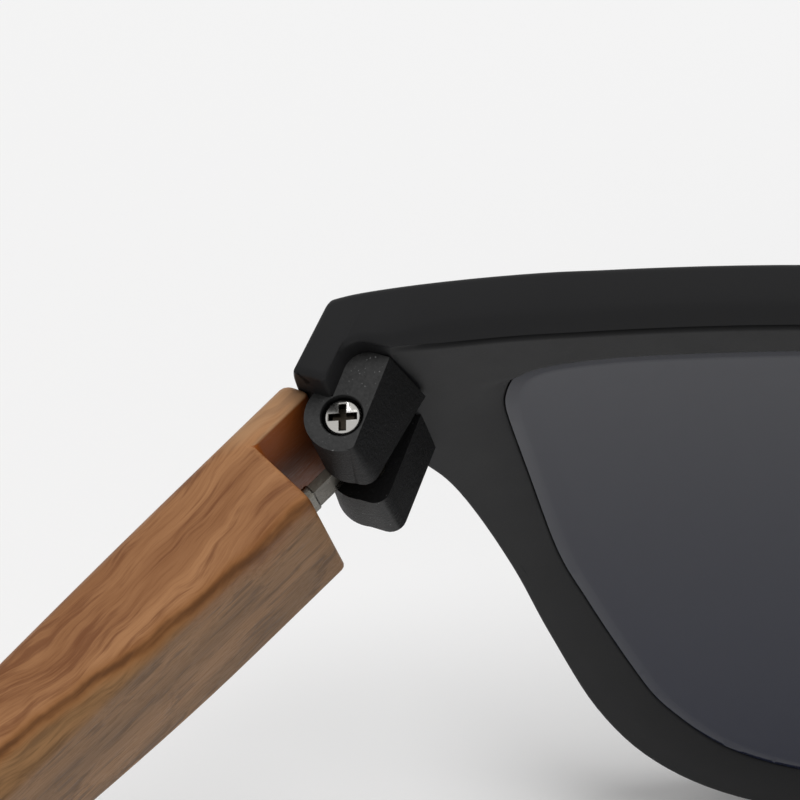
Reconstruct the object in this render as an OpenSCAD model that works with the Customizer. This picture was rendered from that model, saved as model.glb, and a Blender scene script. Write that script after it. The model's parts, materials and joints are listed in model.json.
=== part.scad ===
// Sunglasses with a black moulded front, curved tinted lenses and wooden temples on sprung hinges.
// Drawn standing on a table with both temples flexed outward against their springs.
// Millimetres, +X to the wearer's left, +Y to the back, +Z up.

/* [Front] */
// Half of the overall width of the front
front_half = 72.7; // [68:0.1:78]
// Rise of the brow above the middle of the lenses
brow_rise = 18.9; // [18.2:0.1:20]
// Drop of the rims below the middle of the lenses
rim_drop = 37; // [34.5:0.1:40]
// Thickness of the front, square to its surface
front_t = 4; // [3.8:0.1:5.2]
// Radius of the hollow rear surface
base_r = 130; // [120:1:160]
// Lean of the front against the hinge axes, in degrees
front_lean = 13; // [8:0.5:16]
// Height of the step along the top of the rear face
step_h = 1.05; // [0.8:0.05:1.4]
// How far that step is sunk into the rear face
step_d = 0.5; // [0.3:0.05:0.8]
// How far the nose pads stand back from the rear face
pad_reach = 6.5; // [4:0.5:9]

/* [Lenses] */
// Lens thickness
lens_t = 2; // [1.6:0.1:2.2]
// Depth of the lens groove in the rim
groove = 0.9; // [0.6:0.1:1.2]
// How far the lens flange lies below the rear face
lens_inset = 1.2; // [0.9:0.1:1.6]
// How far the rear face of the lens lies below the rear face of the front
lens_sink = 0.3; // [0.1:0.05:0.6]
// Clearance of the lens in its groove
lens_gap = 0.06; // [0.03:0.01:0.15]

/* [Hinge] */
// Hinge axis inward from the outer face of the front
axis_in = 3.6; // [3.5:0.1:4]
// Height of the upper knuckle
upper_h = 5.3; // [4.5:0.1:6.5]
// Height of the slot between the knuckles
slot_h = 2.6; // [2.2:0.1:3.2]
// Height of the lower knuckle
lower_h = 4.2; // [3.6:0.1:4.6]
// Wall of the end piece outside the hinge block
wall_t = 2.6; // [2.2:0.1:2.8]
// Hinge axis back from the seat of the hinge block
seat_back = 4.45; // [4.2:0.05:5]
// Radius of the screw shank
screw_r = 0.72; // [0.6:0.02:0.8]
// Radius of the screw head
head_r = 1.1; // [1:0.05:1.2]
// Running clearance of the hinge, on the radius
run_gap = 0.04; // [0.02:0.01:0.08]

/* [Temples] */
// Length of a temple from the hinge axis to its tip, along its curve
temple_len = 146; // [135:1:155]
// Thickness of a temple at the hinge
temple_t = 6.7; // [6.4:0.1:7.2]
// Height of a temple at the hinge
temple_h = 11.6; // [10.5:0.1:12.5]
// Length of the thin tongue beside the hinge block
tongue_l = 4.15; // [4:0.05:4.25]
// Thickness of that tongue
tongue_t = 1.45; // [1.2:0.05:1.6]
// Distance along the temple where the ear bend begins
bend_at = 92; // [85:1:100]
// Angle of the ear bend
bend_angle = 36; // [30:1:42]
// Radius of the ear bend
bend_r = 40; // [30:1:55]

/* [Pose] */
// Outward flex of the temples, in degrees
flex = 25; // [15:0.5:26]
// Travel of the spring slider at that flex
draw = 1.6; // [1.55:0.05:1.8]

/* [Hidden] */
$fn = 48;
e = 0.02;
xs = front_half - axis_in;
block_top = slot_h / 2 + upper_h;
block_low = -slot_h / 2 - lower_h;
wall_x = xs + axis_in - wall_t;
lug_y = -0.9;
lens_mid = -14.5;
mid_n = base_r * cos(front_lean);
seat_up = 2 - lens_mid;
// Depth of the front at its middle, so that its rear face meets the seat of the hinge block
sag_x = xs - 2.05;
sag_v = seat_up - base_r * sin(front_lean);
front_y = -seat_back - mid_n + sqrt(base_r * base_r - sag_x * sag_x - sag_v * sag_v);
// Room in the end piece for the hinge block: its reach inward of the axis and its corner
room_in = 2.4;
room_r = 1.5;
// Half width of the step along the brow
step_x = xs - room_in - 0.6;
// Clearance round the raised body of the lens
lens_edge = 0.15;
knuckle_r = 2.35;
inner_x = -2.05;
rear_y = 2.3;
end_y = 3.4;
// Foot of the hinge block, let into the front
base_d = 1.3;
base_w = 2.4;
base_side = 0.2;
base_end = 0.5;
base_low = 1.3;
seat_gap = 0.02;
recess_r = head_r + 0.2;
recess_d = 0.75;
head_h = 0.55;
// Cross recess of the screw: arm length, arm width, depth
cross_l = 1.7;
cross_w = 0.48;
cross_d = 0.4;
cross_turn = 21;
shank_end = 0.3;
insert_r = 1.25;
insert_h = 2.5;
eye_r = 1.4;
eye_h = slot_h - 0.1;
// Neck of the slider: its width and where its inner side lies
neck_w = 1.25;
neck_x = -0.25;
house_w = 3;
house_h = 3.4;
house_l = 12.6;
// How far the housing stands proud of the temple's end
lip = 0.2;
neck_in = 3.7;
collar_t = 1;
rod_r = 0.55;
nut_r = 1.1;
nut_l = 1.2;
chamber_r = 1.28;
wire_r = 0.15;
coil_r = 0.95;
coil_n = 4.5;
coil_l = 3.55;
// How far the temple stands proud of the end piece, and how far it is lifted off the block's middle
proud = 0.5;
lift = 0.25;
temple_out = axis_in + proud;
temple_in = temple_out - temple_t;
temple_z = (block_top + block_low) / 2 + lift;
tongue_x = temple_out - tongue_t;
// Slimmest height and thickness of a temple, and what its tip gains and loses
slim_h = 8.6;
slim_t = 4.4;
paddle_h = 1.6;
paddle_t = 0.6;
sweep_in = 0.4;
// Length of a cut that passes right through
through = 60;

// Outline control points as [across, up] on the front's own plane, from the middle of the lenses
half_pts = [
    [0, 13], [10, 13.5], [22, 15], [36, 16.2], [50, 16.95], [57, 17.5], [61, 18.05], [68.5, 18.85],
    [71.6, 18.9], [72.3, 18.2], [72.6, 15], [72.7, 12], [72.6, 9.6], [72, 8.3], [70.4, 7.3],
    [68.6, 5.9], [66.9, 3.5], [65.6, -0.1], [63.3, -9.5], [61.3, -17.1], [58.5, -25], [54.8, -30.6],
    [49.5, -34.4], [42, -36.6], [34, -37], [26.5, -35.5], [20, -31.8], [15, -26], [11.3, -18.5],
    [8.6, -10], [6.8, -3], [4.6, 2], [0, 4.2]];
lens_pts = [
    [11.6, 8.6], [20, 11], [34, 12], [48, 12.3], [57, 12.7], [60.9, 12.1], [62.5, 9.6],
    [62.6, 5], [61.1, -7.8], [59.3, -14.6], [56.6, -21.9], [54.3, -26.3], [50.2, -30.6],
    [44.5, -33], [36.5, -33.7], [29.3, -32.4], [22.9, -28.8], [17.9, -22.6],
    [14.4, -14.5], [11.9, -6.1], [10.1, 1.6], [9.9, 6]];

// Reach of the drawn outline, which the sizes of the front then stretch
drawn_half = max([for (q = half_pts) q[0]]);
drawn_rise = max([for (q = half_pts) q[1]]);
drawn_drop = -min([for (q = half_pts) q[1]]);

function sized(pts) = [for (q = pts)
    [q[0] * front_half / drawn_half, q[1] * (q[1] > 0 ? brow_rise / drawn_rise : rim_drop / drawn_drop)]];
function flip(pts) = [for (i = [len(pts) - 1 : -1 : 0]) [-pts[i][0], pts[i][1]]];
function inner_of(pts) = [for (i = [1 : len(pts) - 2]) pts[i]];
function spline(a, b, c, d, t) =
    0.5 * (2 * b + (c - a) * t + (2 * a - 5 * b + 4 * c - d) * t * t
    + (3 * b - a - 3 * c + d) * t * t * t);
function smooth(pts, n) = let (m = len(pts)) [for (i = [0 : m - 1]) for (k = [0 : n - 1])
    spline(pts[(i + m - 1) % m], pts[i], pts[(i + 1) % m], pts[(i + 2) % m], k / n)];
function unit(v) = v / norm(v);
// Outline moved outward by d; the outlines run clockwise
function grown(pts, d) = let (m = len(pts)) [for (i = [0 : m - 1])
    let (g = unit(pts[(i + 1) % m] - pts[(i + m - 1) % m])) pts[i] + d * [-g[1], g[0]]];
outer_line = smooth(concat(sized(half_pts), flip(inner_of(sized(half_pts)))), 3);
lens_line = smooth(sized(lens_pts), 4);

// Depth of the rear face behind the front's own plane
function sag(q, r) = base_r - sqrt(r * r - q[0] * q[0] - q[1] * q[1]);
function front_pt(q, r) = let (n = sag(q, r))
    [q[0], front_y + n * cos(front_lean) - q[1] * sin(front_lean),
    lens_mid + n * sin(front_lean) + q[1] * cos(front_lean)];

// Temple: stations along its length, tapered, with the ear bend turning downward
bend_len = bend_r * bend_angle * PI / 180;
function mix(a, b, t) = a + (b - a) * min(1, max(0, t));
function ease(t) = let (u = min(1, max(0, t))) u * u * (3 - 2 * u);
function turn_at(s) = min(bend_angle, max(0, (s - bend_at) / bend_len * bend_angle));
function path_y(s) = s <= bend_at ? s : s <= bend_at + bend_len ? bend_at + bend_r * sin(turn_at(s))
    : bend_at + bend_r * sin(bend_angle) + (s - bend_at - bend_len) * cos(bend_angle);
function path_z(s) = s <= bend_at ? 0 : s <= bend_at + bend_len ? -bend_r * (1 - cos(turn_at(s)))
    : -bend_r * (1 - cos(bend_angle)) - (s - bend_at - bend_len) * sin(bend_angle);
tip_round = 5;
function tip_of(s) = s < temple_len - tip_round ? 1
    : sqrt(max(0.02, 1 - pow((s - temple_len + tip_round) / tip_round, 2)));
// Share of the way from one distance along the temple to another
function along(s, a, b) = ease((s - a) / (b - a));
function tall(s) = mix(temple_h, slim_h, along(s, 14, bend_at - 12))
    + paddle_h * along(s, bend_at + 8, temple_len - 10);
function thick(s) = mix(temple_t, slim_t, along(s, 6, bend_at + 4))
    - paddle_t * along(s, bend_at + 8, temple_len - 6) - eased(s);
function mid_x(s) = (temple_out + temple_in - eased(s)) / 2 - sweep_in * along(s, 20, bend_at + 8);
function mid_z(s) = temple_z + (temple_h - tall(s)) * 0.36;
corner_r = 0.9;
// Rounding of the outer edge of the tongue's end
tongue_s = end_y - tongue_l;
edge_r = 0.5;
function eased(s) = s - tongue_s >= edge_r ? 0
    : edge_r - sqrt(edge_r * edge_r - pow(edge_r - s + tongue_s, 2));
// Rounded section, five points to a corner
function section(w, h, r) = [for (k = [0 : 3]) for (j = [0 : 4])
    let (a = k * 90 + j * 22.5, sx = k == 0 || k == 3 ? 1 : -1, sz = k < 2 ? 1 : -1)
    [sx * (w / 2 - r) + r * cos(a), sz * (h / 2 - r) + r * sin(a)]];
ring_n = 20;
stations = concat(
    [for (k = [0 : 3]) tongue_s + edge_r * (1 - cos(k * 30))],
    [end_y, 8, 16, 26, 36, 46, 56, 66, 76, 85],
    [for (k = [0 : 8]) bend_at + bend_len * k / 8],
    [for (k = [1 : 3]) mix(bend_at + bend_len, temple_len - tip_round, k / 3)],
    [for (k = [1 : 6]) temple_len - tip_round + tip_round * sin(k * 15)]);
function ring(s) = let (t = tip_of(s), a = turn_at(s), w = thick(s) * (0.35 + 0.65 * t), h = tall(s) * t)
    [for (q = section(w, h, min(corner_r, w * 0.45, h * 0.45)))
    [mid_x(s) + q[0], path_y(s) + q[1] * sin(a), mid_z(s) + path_z(s) + q[1] * cos(a)]];
temple_pts = [for (s = stations) each ring(s)];
ring_c = len(stations);
temple_faces = concat(
    [[for (j = [0 : ring_n - 1]) j]],
    [for (i = [0 : ring_c - 2]) for (j = [0 : ring_n - 1])
        let (a = i * ring_n + j, b = i * ring_n + (j + 1) % ring_n) [a, a + ring_n, b]],
    [for (i = [0 : ring_c - 2]) for (j = [0 : ring_n - 1])
        let (a = i * ring_n + j, b = i * ring_n + (j + 1) % ring_n) [b, a + ring_n, b + ring_n]],
    [[for (j = [ring_n - 1 : -1 : 0]) (ring_c - 1) * ring_n + j]]);

// Standing pose: the lean that puts the rims and both temple tips on the table together
function flexed(p) = [xs + p[0] * cos(flex) + (p[1] + draw) * sin(flex),
    -p[0] * sin(flex) + (p[1] + draw) * cos(flex), p[2]];
rim_set = concat([for (q = outer_line) front_pt(q, base_r)],
    [for (q = outer_line) front_pt(q, base_r + front_t)]);
temple_set = [for (p = temple_pts) flexed(p)];
function low(pts, t) = min([for (p = pts) p[2] * cos(t) - p[1] * sin(t)]);
function settle(a, b, n) = n == 0 ? (a + b) / 2 : let (t = (a + b) / 2)
    low(rim_set, t) < low(temple_set, t) ? settle(t, b, n - 1) : settle(a, t, n - 1);
stand_lean = settle(0, 25, 30);
function fore(p) = p[1] * cos(stand_lean) + p[2] * sin(stand_lean);
stand_y = -(min([for (p = rim_set) fore(p)]) + max([for (p = temple_set) fore(p)])) / 2;
stand_z = -low(rim_set, stand_lean);

echo(stand_lean = stand_lean, stand_y = stand_y, stand_z = stand_z, xs = xs, front_y = front_y);

// Spring wire: rings of six points along the coil
coil_steps = ceil(coil_n * 8);
coil_y = end_y + neck_in + collar_t + wire_r + 0.06;
function coil_at(k) = let (a = 360 * coil_n * k / coil_steps)
    [coil_r * cos(a), coil_y + (coil_l - 2 * wire_r) * k / coil_steps, coil_r * sin(a)];
coil_pts = [for (k = [0 : coil_steps]) let (c = coil_at(k), o = unit([c[0], 0, c[2]]))
    each [for (j = [0 : 5]) c + wire_r * (cos(j * 60) * o + [0, sin(j * 60), 0])]];
coil_faces = concat([[for (j = [5 : -1 : 0]) j]],
    [for (k = [0 : coil_steps - 1]) for (j = [0 : 5])
        let (a = k * 6 + j, b = k * 6 + (j + 1) % 6) [a, b, a + 6]],
    [for (k = [0 : coil_steps - 1]) for (j = [0 : 5])
        let (a = k * 6 + j, b = k * 6 + (j + 1) % 6) [b, b + 6, a + 6]],
    [[for (j = [0 : 5]) coil_steps * 6 + j]]);
coil_gap = (coil_l - 2 * wire_r) / coil_n - 2 * wire_r;
echo(coil_gap = coil_gap);

module stand() {
    translate([0, stand_y, stand_z]) rotate([-stand_lean, 0, 0]) children();
}

module side(s) {
    if (s > 0) stand() translate([xs, 0, 0]) children();
    else stand() mirror([1, 0, 0]) translate([xs, 0, 0]) children();
}

// Turned with the slider
module flexing(s) {
    side(s) rotate([0, 0, -flex]) children();
}

// Turned and drawn out with the temple
module drawn(s) {
    flexing(s) translate([0, draw, 0]) children();
}

module on_front() {
    translate([0, front_y, lens_mid]) rotate([90 + front_lean, 0, 0]) children();
}

module prism(pts) {
    translate([0, 0, -through * 2 / 3]) linear_extrude(through) polygon(pts);
}

// A plan drawn square to the hinge axes, carried right through the front
module upright() {
    translate([0, 0, -through / 2]) linear_extrude(through) children();
}

module shell(r0, r1) {
    translate([0, 0, -base_r]) difference() {
        sphere(r1, $fn = 96);
        sphere(r0, $fn = 96);
    }
}

module pad(s) {
    hull() {
        translate([s * 8.6, -5, -pad_reach * 0.35]) sphere(2, $fn = 24);
        translate([s * 10.8, -11.5, 2.2 - pad_reach]) sphere(2.2, $fn = 24);
        translate([s * 13.2, -18.5, 1.6 - pad_reach]) sphere(1.8, $fn = 24);
        translate([s * 11, -12, 1]) sphere(1.8, $fn = 24);
    }
}

// Plan of the end piece beside the hinge block
module lug_plan() {
    lug_in = room_r + 0.1;
    lug_fore = 0.6;
    difference() {
        translate([wall_x - lug_in, -seat_back - lug_fore])
            square([wall_t + room_r + lug_fore, seat_back + lug_fore + lug_y]);
        room_plan();
    }
}

// Plan of the room for the hinge block, with a rounded corner
module room_plan() {
    room_l = 12;
    translate([xs - room_in, -seat_back]) square([wall_x - xs + room_in - room_r, room_l]);
    translate([xs - room_in, -seat_back + room_r]) square([wall_x - xs + room_in, room_l]);
    translate([wall_x - room_r, -seat_back + room_r]) circle(room_r);
}

module front_body() {
    on_front() intersection() {
        prism(outer_line);
        shell(base_r, base_r + front_t);
    }
    for (s = [0, 1]) intersection() {
        on_front() prism(outer_line);
        mirror([s, 0, 0]) upright() lug_plan();
    }
    on_front() for (s = [-1, 1]) pad(s);
}

module front_frame() color([0.07, 0.07, 0.07]) stand() difference() {
    front_body();
    on_front() for (s = [0, 1]) mirror([s, 0, 0]) {
        prism(lens_line);
        intersection() {
            prism(grown(lens_line, groove + lens_gap));
            shell(base_r + lens_inset - lens_gap, base_r + lens_inset + lens_t + lens_gap);
        }
    }
    brow_step();
    for (s = [0, 1]) mirror([s, 0, 0]) {
        upright() room_plan();
        translate([wall_x - 1, lug_y, -through / 2]) cube([through, through, through]);
        translate([xs, 0, 0]) base(seat_gap);
    }
}

// Room of the step along the top of the rear face
module brow_step() {
    on_front() intersection() {
        difference() {
            prism(grown(outer_line, 1));
            translate([0, -step_h, 0]) prism(outer_line);
        }
        translate([-step_x, brow_rise / 2, -through * 2 / 3]) cube([2 * step_x, brow_rise, through]);
        shell(base_r - 1, base_r + step_d);
    }
}

// Foot of the hinge block, grown by a clearance
module base(gap) {
    translate([inner_x + base_side - gap, -seat_back - base_d - gap, block_low + base_low - gap])
        cube([base_w + 2 * gap, base_d + 1, block_top - block_low - base_low - base_end + 2 * gap]);
}

module lens(s) {
    stand() on_front() mirror([s > 0 ? 0 : 1, 0, 0]) {
        intersection() {
            prism(grown(lens_line, groove));
            shell(base_r + lens_inset, base_r + lens_inset + lens_t);
        }
        intersection() {
            prism(grown(lens_line, -lens_edge));
            shell(base_r + lens_sink, base_r + lens_inset + lens_t / 2);
        }
    }
}

module left_lens() color([0.25, 0.25, 0.27]) lens(1);
module right_lens() color([0.25, 0.25, 0.27]) lens(-1);

// Plan of the knuckles: squared on the inner side, round where the tongue swings past
module knuckle_plan() {
    room_x = wall_x - xs;
    corner = 0.25;
    intersection() {
        circle(knuckle_r);
        translate([-knuckle_r, lug_y + seat_gap]) square(2 * knuckle_r);
    }
    translate([room_x - room_r, -seat_back + room_r]) circle(room_r - seat_gap);
    polygon([[inner_x, -seat_back + seat_gap], [room_x - room_r, -seat_back + seat_gap],
        [room_x - room_r, -seat_back + room_r], [room_x - seat_gap, -seat_back + room_r],
        [room_x - seat_gap, 0], [0, rear_y], [inner_x + corner, rear_y], [inner_x, rear_y - corner]]);
}

module block(s) {
    side(s) difference() {
        union() {
            translate([0, 0, block_low]) linear_extrude(block_top - block_low) knuckle_plan();
            base(0);
        }
        translate([-5, -seat_back, -slot_h / 2]) cube([10, 12, slot_h]);
        translate([0, 0, block_low - 1]) cylinder(r = screw_r + run_gap, h = 20);
        translate([0, 0, block_top - recess_d]) cylinder(r = recess_r, h = 2);
        translate([0, 0, block_low - 1]) cylinder(r = insert_r, h = insert_h + 1);
    }
}

module left_hinge_block() color([0.1, 0.1, 0.1]) block(1);
module right_hinge_block() color([0.1, 0.1, 0.1]) block(-1);

module insert(s) {
    side(s) translate([0, 0, block_low]) difference() {
        cylinder(r = insert_r, h = insert_h);
        translate([0, 0, -1]) cylinder(r = screw_r + run_gap, h = 6);
    }
}

module left_thread_insert() color([0.72, 0.58, 0.3]) insert(1);
module right_thread_insert() color([0.72, 0.58, 0.3]) insert(-1);

module screw(s) {
    side(s) difference() {
        union() {
            translate([0, 0, block_top - recess_d]) cylinder(r = head_r, h = head_h);
            translate([0, 0, block_low + shank_end])
                cylinder(r = screw_r, h = block_top - block_low - shank_end - recess_d);
        }
        for (a = [0, 90]) translate([0, 0, block_top - recess_d + head_h - cross_d])
            rotate([0, 0, cross_turn + a]) translate([-cross_l / 2, -cross_w / 2, 0])
            cube([cross_l, cross_w, head_h]);
    }
}

module left_pivot_screw() color([0.75, 0.74, 0.7]) screw(1);
module right_pivot_screw() color([0.75, 0.74, 0.7]) screw(-1);

// The rod passes the collar and the spring, and its nut closes the spring in
rod_end = end_y + neck_in + collar_t + coil_l + 0.15 + nut_l + draw;
module slider(s) {
    flexing(s) difference() {
        union() {
            translate([0, 0, -eye_h / 2]) cylinder(r = eye_r, h = eye_h);
            translate([neck_x, 0, -eye_h / 2]) cube([neck_w, end_y + neck_in - 0.1, eye_h]);
            rotate([-90, 0, 0]) cylinder(r = rod_r, h = rod_end);
        }
        translate([0, 0, -3]) cylinder(r = screw_r + run_gap, h = 6);
    }
}

module left_slider() color([0.7, 0.7, 0.7]) slider(1);
module right_slider() color([0.7, 0.7, 0.7]) slider(-1);

module nut(s) {
    flexing(s) translate([0, rod_end - nut_l, 0]) rotate([-90, 0, 0]) difference() {
        cylinder(r = nut_r, h = nut_l);
        translate([0, 0, -1]) cylinder(r = rod_r + e, h = nut_l + 2);
    }
}

module left_rod_nut() color([0.7, 0.68, 0.6]) nut(1);
module right_rod_nut() color([0.7, 0.68, 0.6]) nut(-1);

module housing(s) {
    drawn(s) difference() {
        translate([-house_w / 2, end_y - lip, -house_h / 2]) cube([house_w, house_l + lip, house_h]);
        translate([neck_x - run_gap, end_y - 1, -eye_h / 2 - run_gap])
            cube([neck_w + 2 * run_gap, neck_in + 1, eye_h + 2 * run_gap]);
        translate([0, end_y - 1, 0]) rotate([-90, 0, 0]) cylinder(r = rod_r + run_gap, h = house_l + 2);
        translate([0, end_y + neck_in + collar_t, 0]) rotate([-90, 0, 0])
            cylinder(r = chamber_r, h = house_l);
    }
}

module left_spring_housing() color([0.62, 0.62, 0.62]) housing(1);
module right_spring_housing() color([0.62, 0.62, 0.62]) housing(-1);

module coil(s) {
    drawn(s) polyhedron(coil_pts, coil_faces);
}

module left_coil_spring() color([0.6, 0.6, 0.62]) coil(1);
module right_coil_spring() color([0.6, 0.6, 0.62]) coil(-1);

module temple(s) {
    drawn(s) difference() {
        polyhedron(temple_pts, temple_faces);
        translate([tongue_x - through, end_y - through, -through / 2]) cube(through);
        translate([-house_w / 2 - seat_gap, end_y - 1, -house_h / 2 - seat_gap])
            cube([house_w + 2 * seat_gap, house_l + 2, house_h + 2 * seat_gap]);
    }
}

module left_temple() color([0.7, 0.48, 0.3]) temple(1);
module right_temple() color([0.7, 0.48, 0.3]) temple(-1);

front_frame();
left_lens();
right_lens();
left_hinge_block();
right_hinge_block();
left_thread_insert();
right_thread_insert();
left_pivot_screw();
right_pivot_screw();
left_slider();
right_slider();
left_rod_nut();
right_rod_nut();
left_spring_housing();
right_spring_housing();
left_coil_spring();
right_coil_spring();
left_temple();
right_temple();
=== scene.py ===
"""Sunglasses with a black moulded front, dark lenses and wooden temples on sprung slider hinges."""
import json
import logging
import math
from dataclasses import dataclass, field
from enum import Enum
from typing import Callable, Iterable, Sequence

import bmesh
import bpy
from mathutils import Matrix, Vector


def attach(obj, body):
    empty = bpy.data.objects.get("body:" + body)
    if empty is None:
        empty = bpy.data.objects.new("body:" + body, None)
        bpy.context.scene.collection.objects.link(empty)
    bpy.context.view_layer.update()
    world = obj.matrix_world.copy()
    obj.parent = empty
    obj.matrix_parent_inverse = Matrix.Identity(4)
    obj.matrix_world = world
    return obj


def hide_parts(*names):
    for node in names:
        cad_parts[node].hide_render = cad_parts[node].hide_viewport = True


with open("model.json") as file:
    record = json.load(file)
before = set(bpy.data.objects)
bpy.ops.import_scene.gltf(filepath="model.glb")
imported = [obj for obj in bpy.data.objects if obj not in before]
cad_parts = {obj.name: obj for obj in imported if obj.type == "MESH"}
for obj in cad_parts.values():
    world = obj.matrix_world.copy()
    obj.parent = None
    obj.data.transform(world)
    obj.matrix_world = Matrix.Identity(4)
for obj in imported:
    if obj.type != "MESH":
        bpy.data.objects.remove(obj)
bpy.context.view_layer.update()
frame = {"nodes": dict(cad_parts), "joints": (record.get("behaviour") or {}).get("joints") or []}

MM = 0.001
NEAR = 0.01
FLAT = 0.01
MERGE = 1e-5
SHARP = 38
ROUND_STEPS = 48
# Most of a noise texture's values lie in this range
NOISE_SPAN = (0.3, 0.7)
# Nodes that no view shows, which keep their plain solids, with their slots
HIDDEN = {"thread_insert": "insert_brass", "rod_nut": "slider_steel", "coil_spring": "spring_steel"}
log = logging.getLogger("sunglasses")

Loop = list[Vector]
Place = tuple[float, float, float]
Profile = Sequence[tuple[float, float]]
Band = tuple[float, float, float, float]
Colour = tuple[float, float, float, float]
Mesh = bmesh.types.BMesh
Vert = bmesh.types.BMVert
Socket = bpy.types.NodeSocket
NodeTree = bpy.types.NodeTree
Material = bpy.types.Material


class Side(Enum):
    """The wearer's left or right, as the sign of X."""

    LEFT = 1
    RIGHT = -1

    @property
    def label(self) -> str:
        """The word that node and body names start with."""
        return self.name.lower()


class Bench:
    """The hinge frame in millimetres: +X to the wearer's left, +Y back, +Z along the hinge axes."""

    def __init__(self, joints: Sequence[dict]) -> None:
        """Reads the hinge place, the lean of the stand and the flexed pose from the frame's joints.

        Args:
            joints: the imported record's joints.
        """
        named = {joint["name"]: joint for joint in joints}
        hinge = named["left_hinge"]
        slide = named["left_draw"]
        x, y, z = hinge["pos_m"]
        lean = math.atan2(hinge["axis"][1], hinge["axis"][2])
        self.axis_x = x / MM
        self.flex = math.asin(slide["axis"][0])
        self.draw = -slide["range_m"][0] / MM
        self.matrix = Matrix.Translation((0, y, z)) @ Matrix.Rotation(-lean, 4, "X") @ Matrix.Scale(MM, 4)

    def side(self, side: Side) -> Matrix:
        """The frame of one hinge axis, with +X outward."""
        flip = Matrix.Diagonal((side.value, 1, 1, 1))
        return self.matrix @ flip @ Matrix.Translation((self.axis_x, 0, 0))

    def slider(self, side: Side) -> Matrix:
        """The frame of a slider, turned outward with the flexed temple."""
        return self.side(side) @ Matrix.Rotation(-self.flex, 4, "Z")

    def arm(self, side: Side) -> Matrix:
        """The frame of a temple, turned outward and drawn back by the spring slider."""
        return self.slider(side) @ Matrix.Translation((0, self.draw, 0))


def ease(value: float) -> float:
    """Smooth step from 0 to 1."""
    t = min(1.0, max(0.0, value))
    return t * t * (3 - 2 * t)


def mix(a: float, b: float, t: float) -> float:
    """The value a share t of the way from a to b."""
    return a + (b - a) * t


def spaced(start: float, end: float, step: float) -> list[float]:
    """Evenly spaced values from start to end."""
    count = round((end - start) / step)
    return [start + step * k for k in range(count + 1)]


def spline_loop(points: Profile, steps: int) -> Loop:
    """A closed smooth curve through control points.

    Args:
        points: the control points, clockwise.
        steps: points on the curve for each control point.
    Returns:
        The points of the curve.
    """
    count = len(points)
    curve = []
    for i in range(count):
        a, b, c, d = (Vector(points[(i + k) % count]) for k in (-1, 0, 1, 2))
        for k in range(steps):
            t = k / steps
            curve.append(0.5 * (2 * b + (c - a) * t + (2 * a - 5 * b + 4 * c - d) * t**2
                                + (3 * b - a - 3 * c + d) * t**3))
    return curve


def outward_normals(loop: Loop) -> Loop:
    """Unit normals of a clockwise closed curve, pointing out of it."""
    count = len(loop)
    normals = []
    for i in range(count):
        along = (loop[(i + 1) % count] - loop[i - 1]).normalized()
        normals.append(Vector((-along.y, along.x)))
    return normals


def arc(centre: tuple[float, float], radius: float, start: float, end: float, steps: int) -> list:
    """Points on an arc, with its angles in degrees."""
    angles = (math.radians(mix(start, end, k / steps)) for k in range(steps + 1))
    return [(centre[0] + radius * math.cos(a), centre[1] + radius * math.sin(a)) for a in angles]


def circle(radius: float, steps: int = ROUND_STEPS) -> list:
    """Points on a circle round the origin."""
    return arc((0, 0), radius, 0, 360, steps)[:-1]


def soft_box(half_w: float, half_h: float, right_r: float, left_r: float, steps: int) -> list:
    """The outline of a box with rounded corners, counterclockwise.

    Args:
        half_w: half of its width.
        half_h: half of its height.
        right_r: radius of the two corners on the right.
        left_r: radius of the two corners on the left.
        steps: steps round each corner.
    Returns:
        The points of the outline.
    """
    points = []
    for sx, sz, start in ((1, 1, 0), (-1, 1, 90), (-1, -1, 180), (1, -1, 270)):
        r = right_r if sx > 0 else left_r
        points += arc((sx * (half_w - r), sz * (half_h - r)), r, start, start + 90, steps)
    return points


def start_ring(bm: Mesh, places: Iterable[Sequence[float]]) -> list[Vert]:
    """A closed ring of vertices and edges.

    Args:
        bm: the mesh to add to.
        places: where the vertices go.
    Returns:
        The ring's vertices, in order.
    """
    ring = [bm.verts.new(place) for place in places]
    for i, vert in enumerate(ring):
        bm.edges.new((ring[i - 1], vert))
    return ring


def ring_edges(bm: Mesh, ring: list[Vert]) -> list:
    """The edges of a closed ring of vertices."""
    return [bm.edges.get((ring[i - 1], vert)) for i, vert in enumerate(ring)]


def extrude_ring(bm: Mesh, ring: list[Vert], places: Iterable[Sequence[float]]) -> list[Vert]:
    """Extrudes a closed ring and moves each new vertex to its place.

    Args:
        bm: the mesh.
        ring: the ring to extrude.
        places: the places of the new ring, in the same order.
    Returns:
        The new ring's vertices.
    """
    made = bmesh.ops.extrude_edge_only(bm, edges=ring_edges(bm, ring))["geom"]
    fresh = {item for item in made if isinstance(item, Vert)}
    grown = []
    for vert in ring:
        grown.append(next(e.other_vert(vert) for e in vert.link_edges if e.other_vert(vert) in fresh))
    for vert, place in zip(grown, places):
        vert.co = place
    return grown


def loft(bm: Mesh, rows: Sequence[Sequence]) -> tuple[list[Vert], list[Vert]]:
    """A tube through rings of places, open at both ends.

    Args:
        bm: the mesh to add to.
        rows: the places of each ring, all of one length.
    Returns:
        The first and the last ring.
    """
    first = ring = start_ring(bm, rows[0])
    for row in rows[1:]:
        ring = extrude_ring(bm, ring, row)
    return first, ring


def extrude_faces(bm: Mesh, faces: list, step: Sequence[float]) -> list[Vert]:
    """Extrudes faces and moves the new ones by a step.

    Args:
        bm: the mesh.
        faces: the faces to extrude.
        step: how far they move.
    Returns:
        The new vertices.
    """
    made = bmesh.ops.extrude_face_region(bm, geom=faces)["geom"]
    verts = [item for item in made if isinstance(item, Vert)]
    bmesh.ops.translate(bm, verts=verts, vec=step)
    return verts


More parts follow.
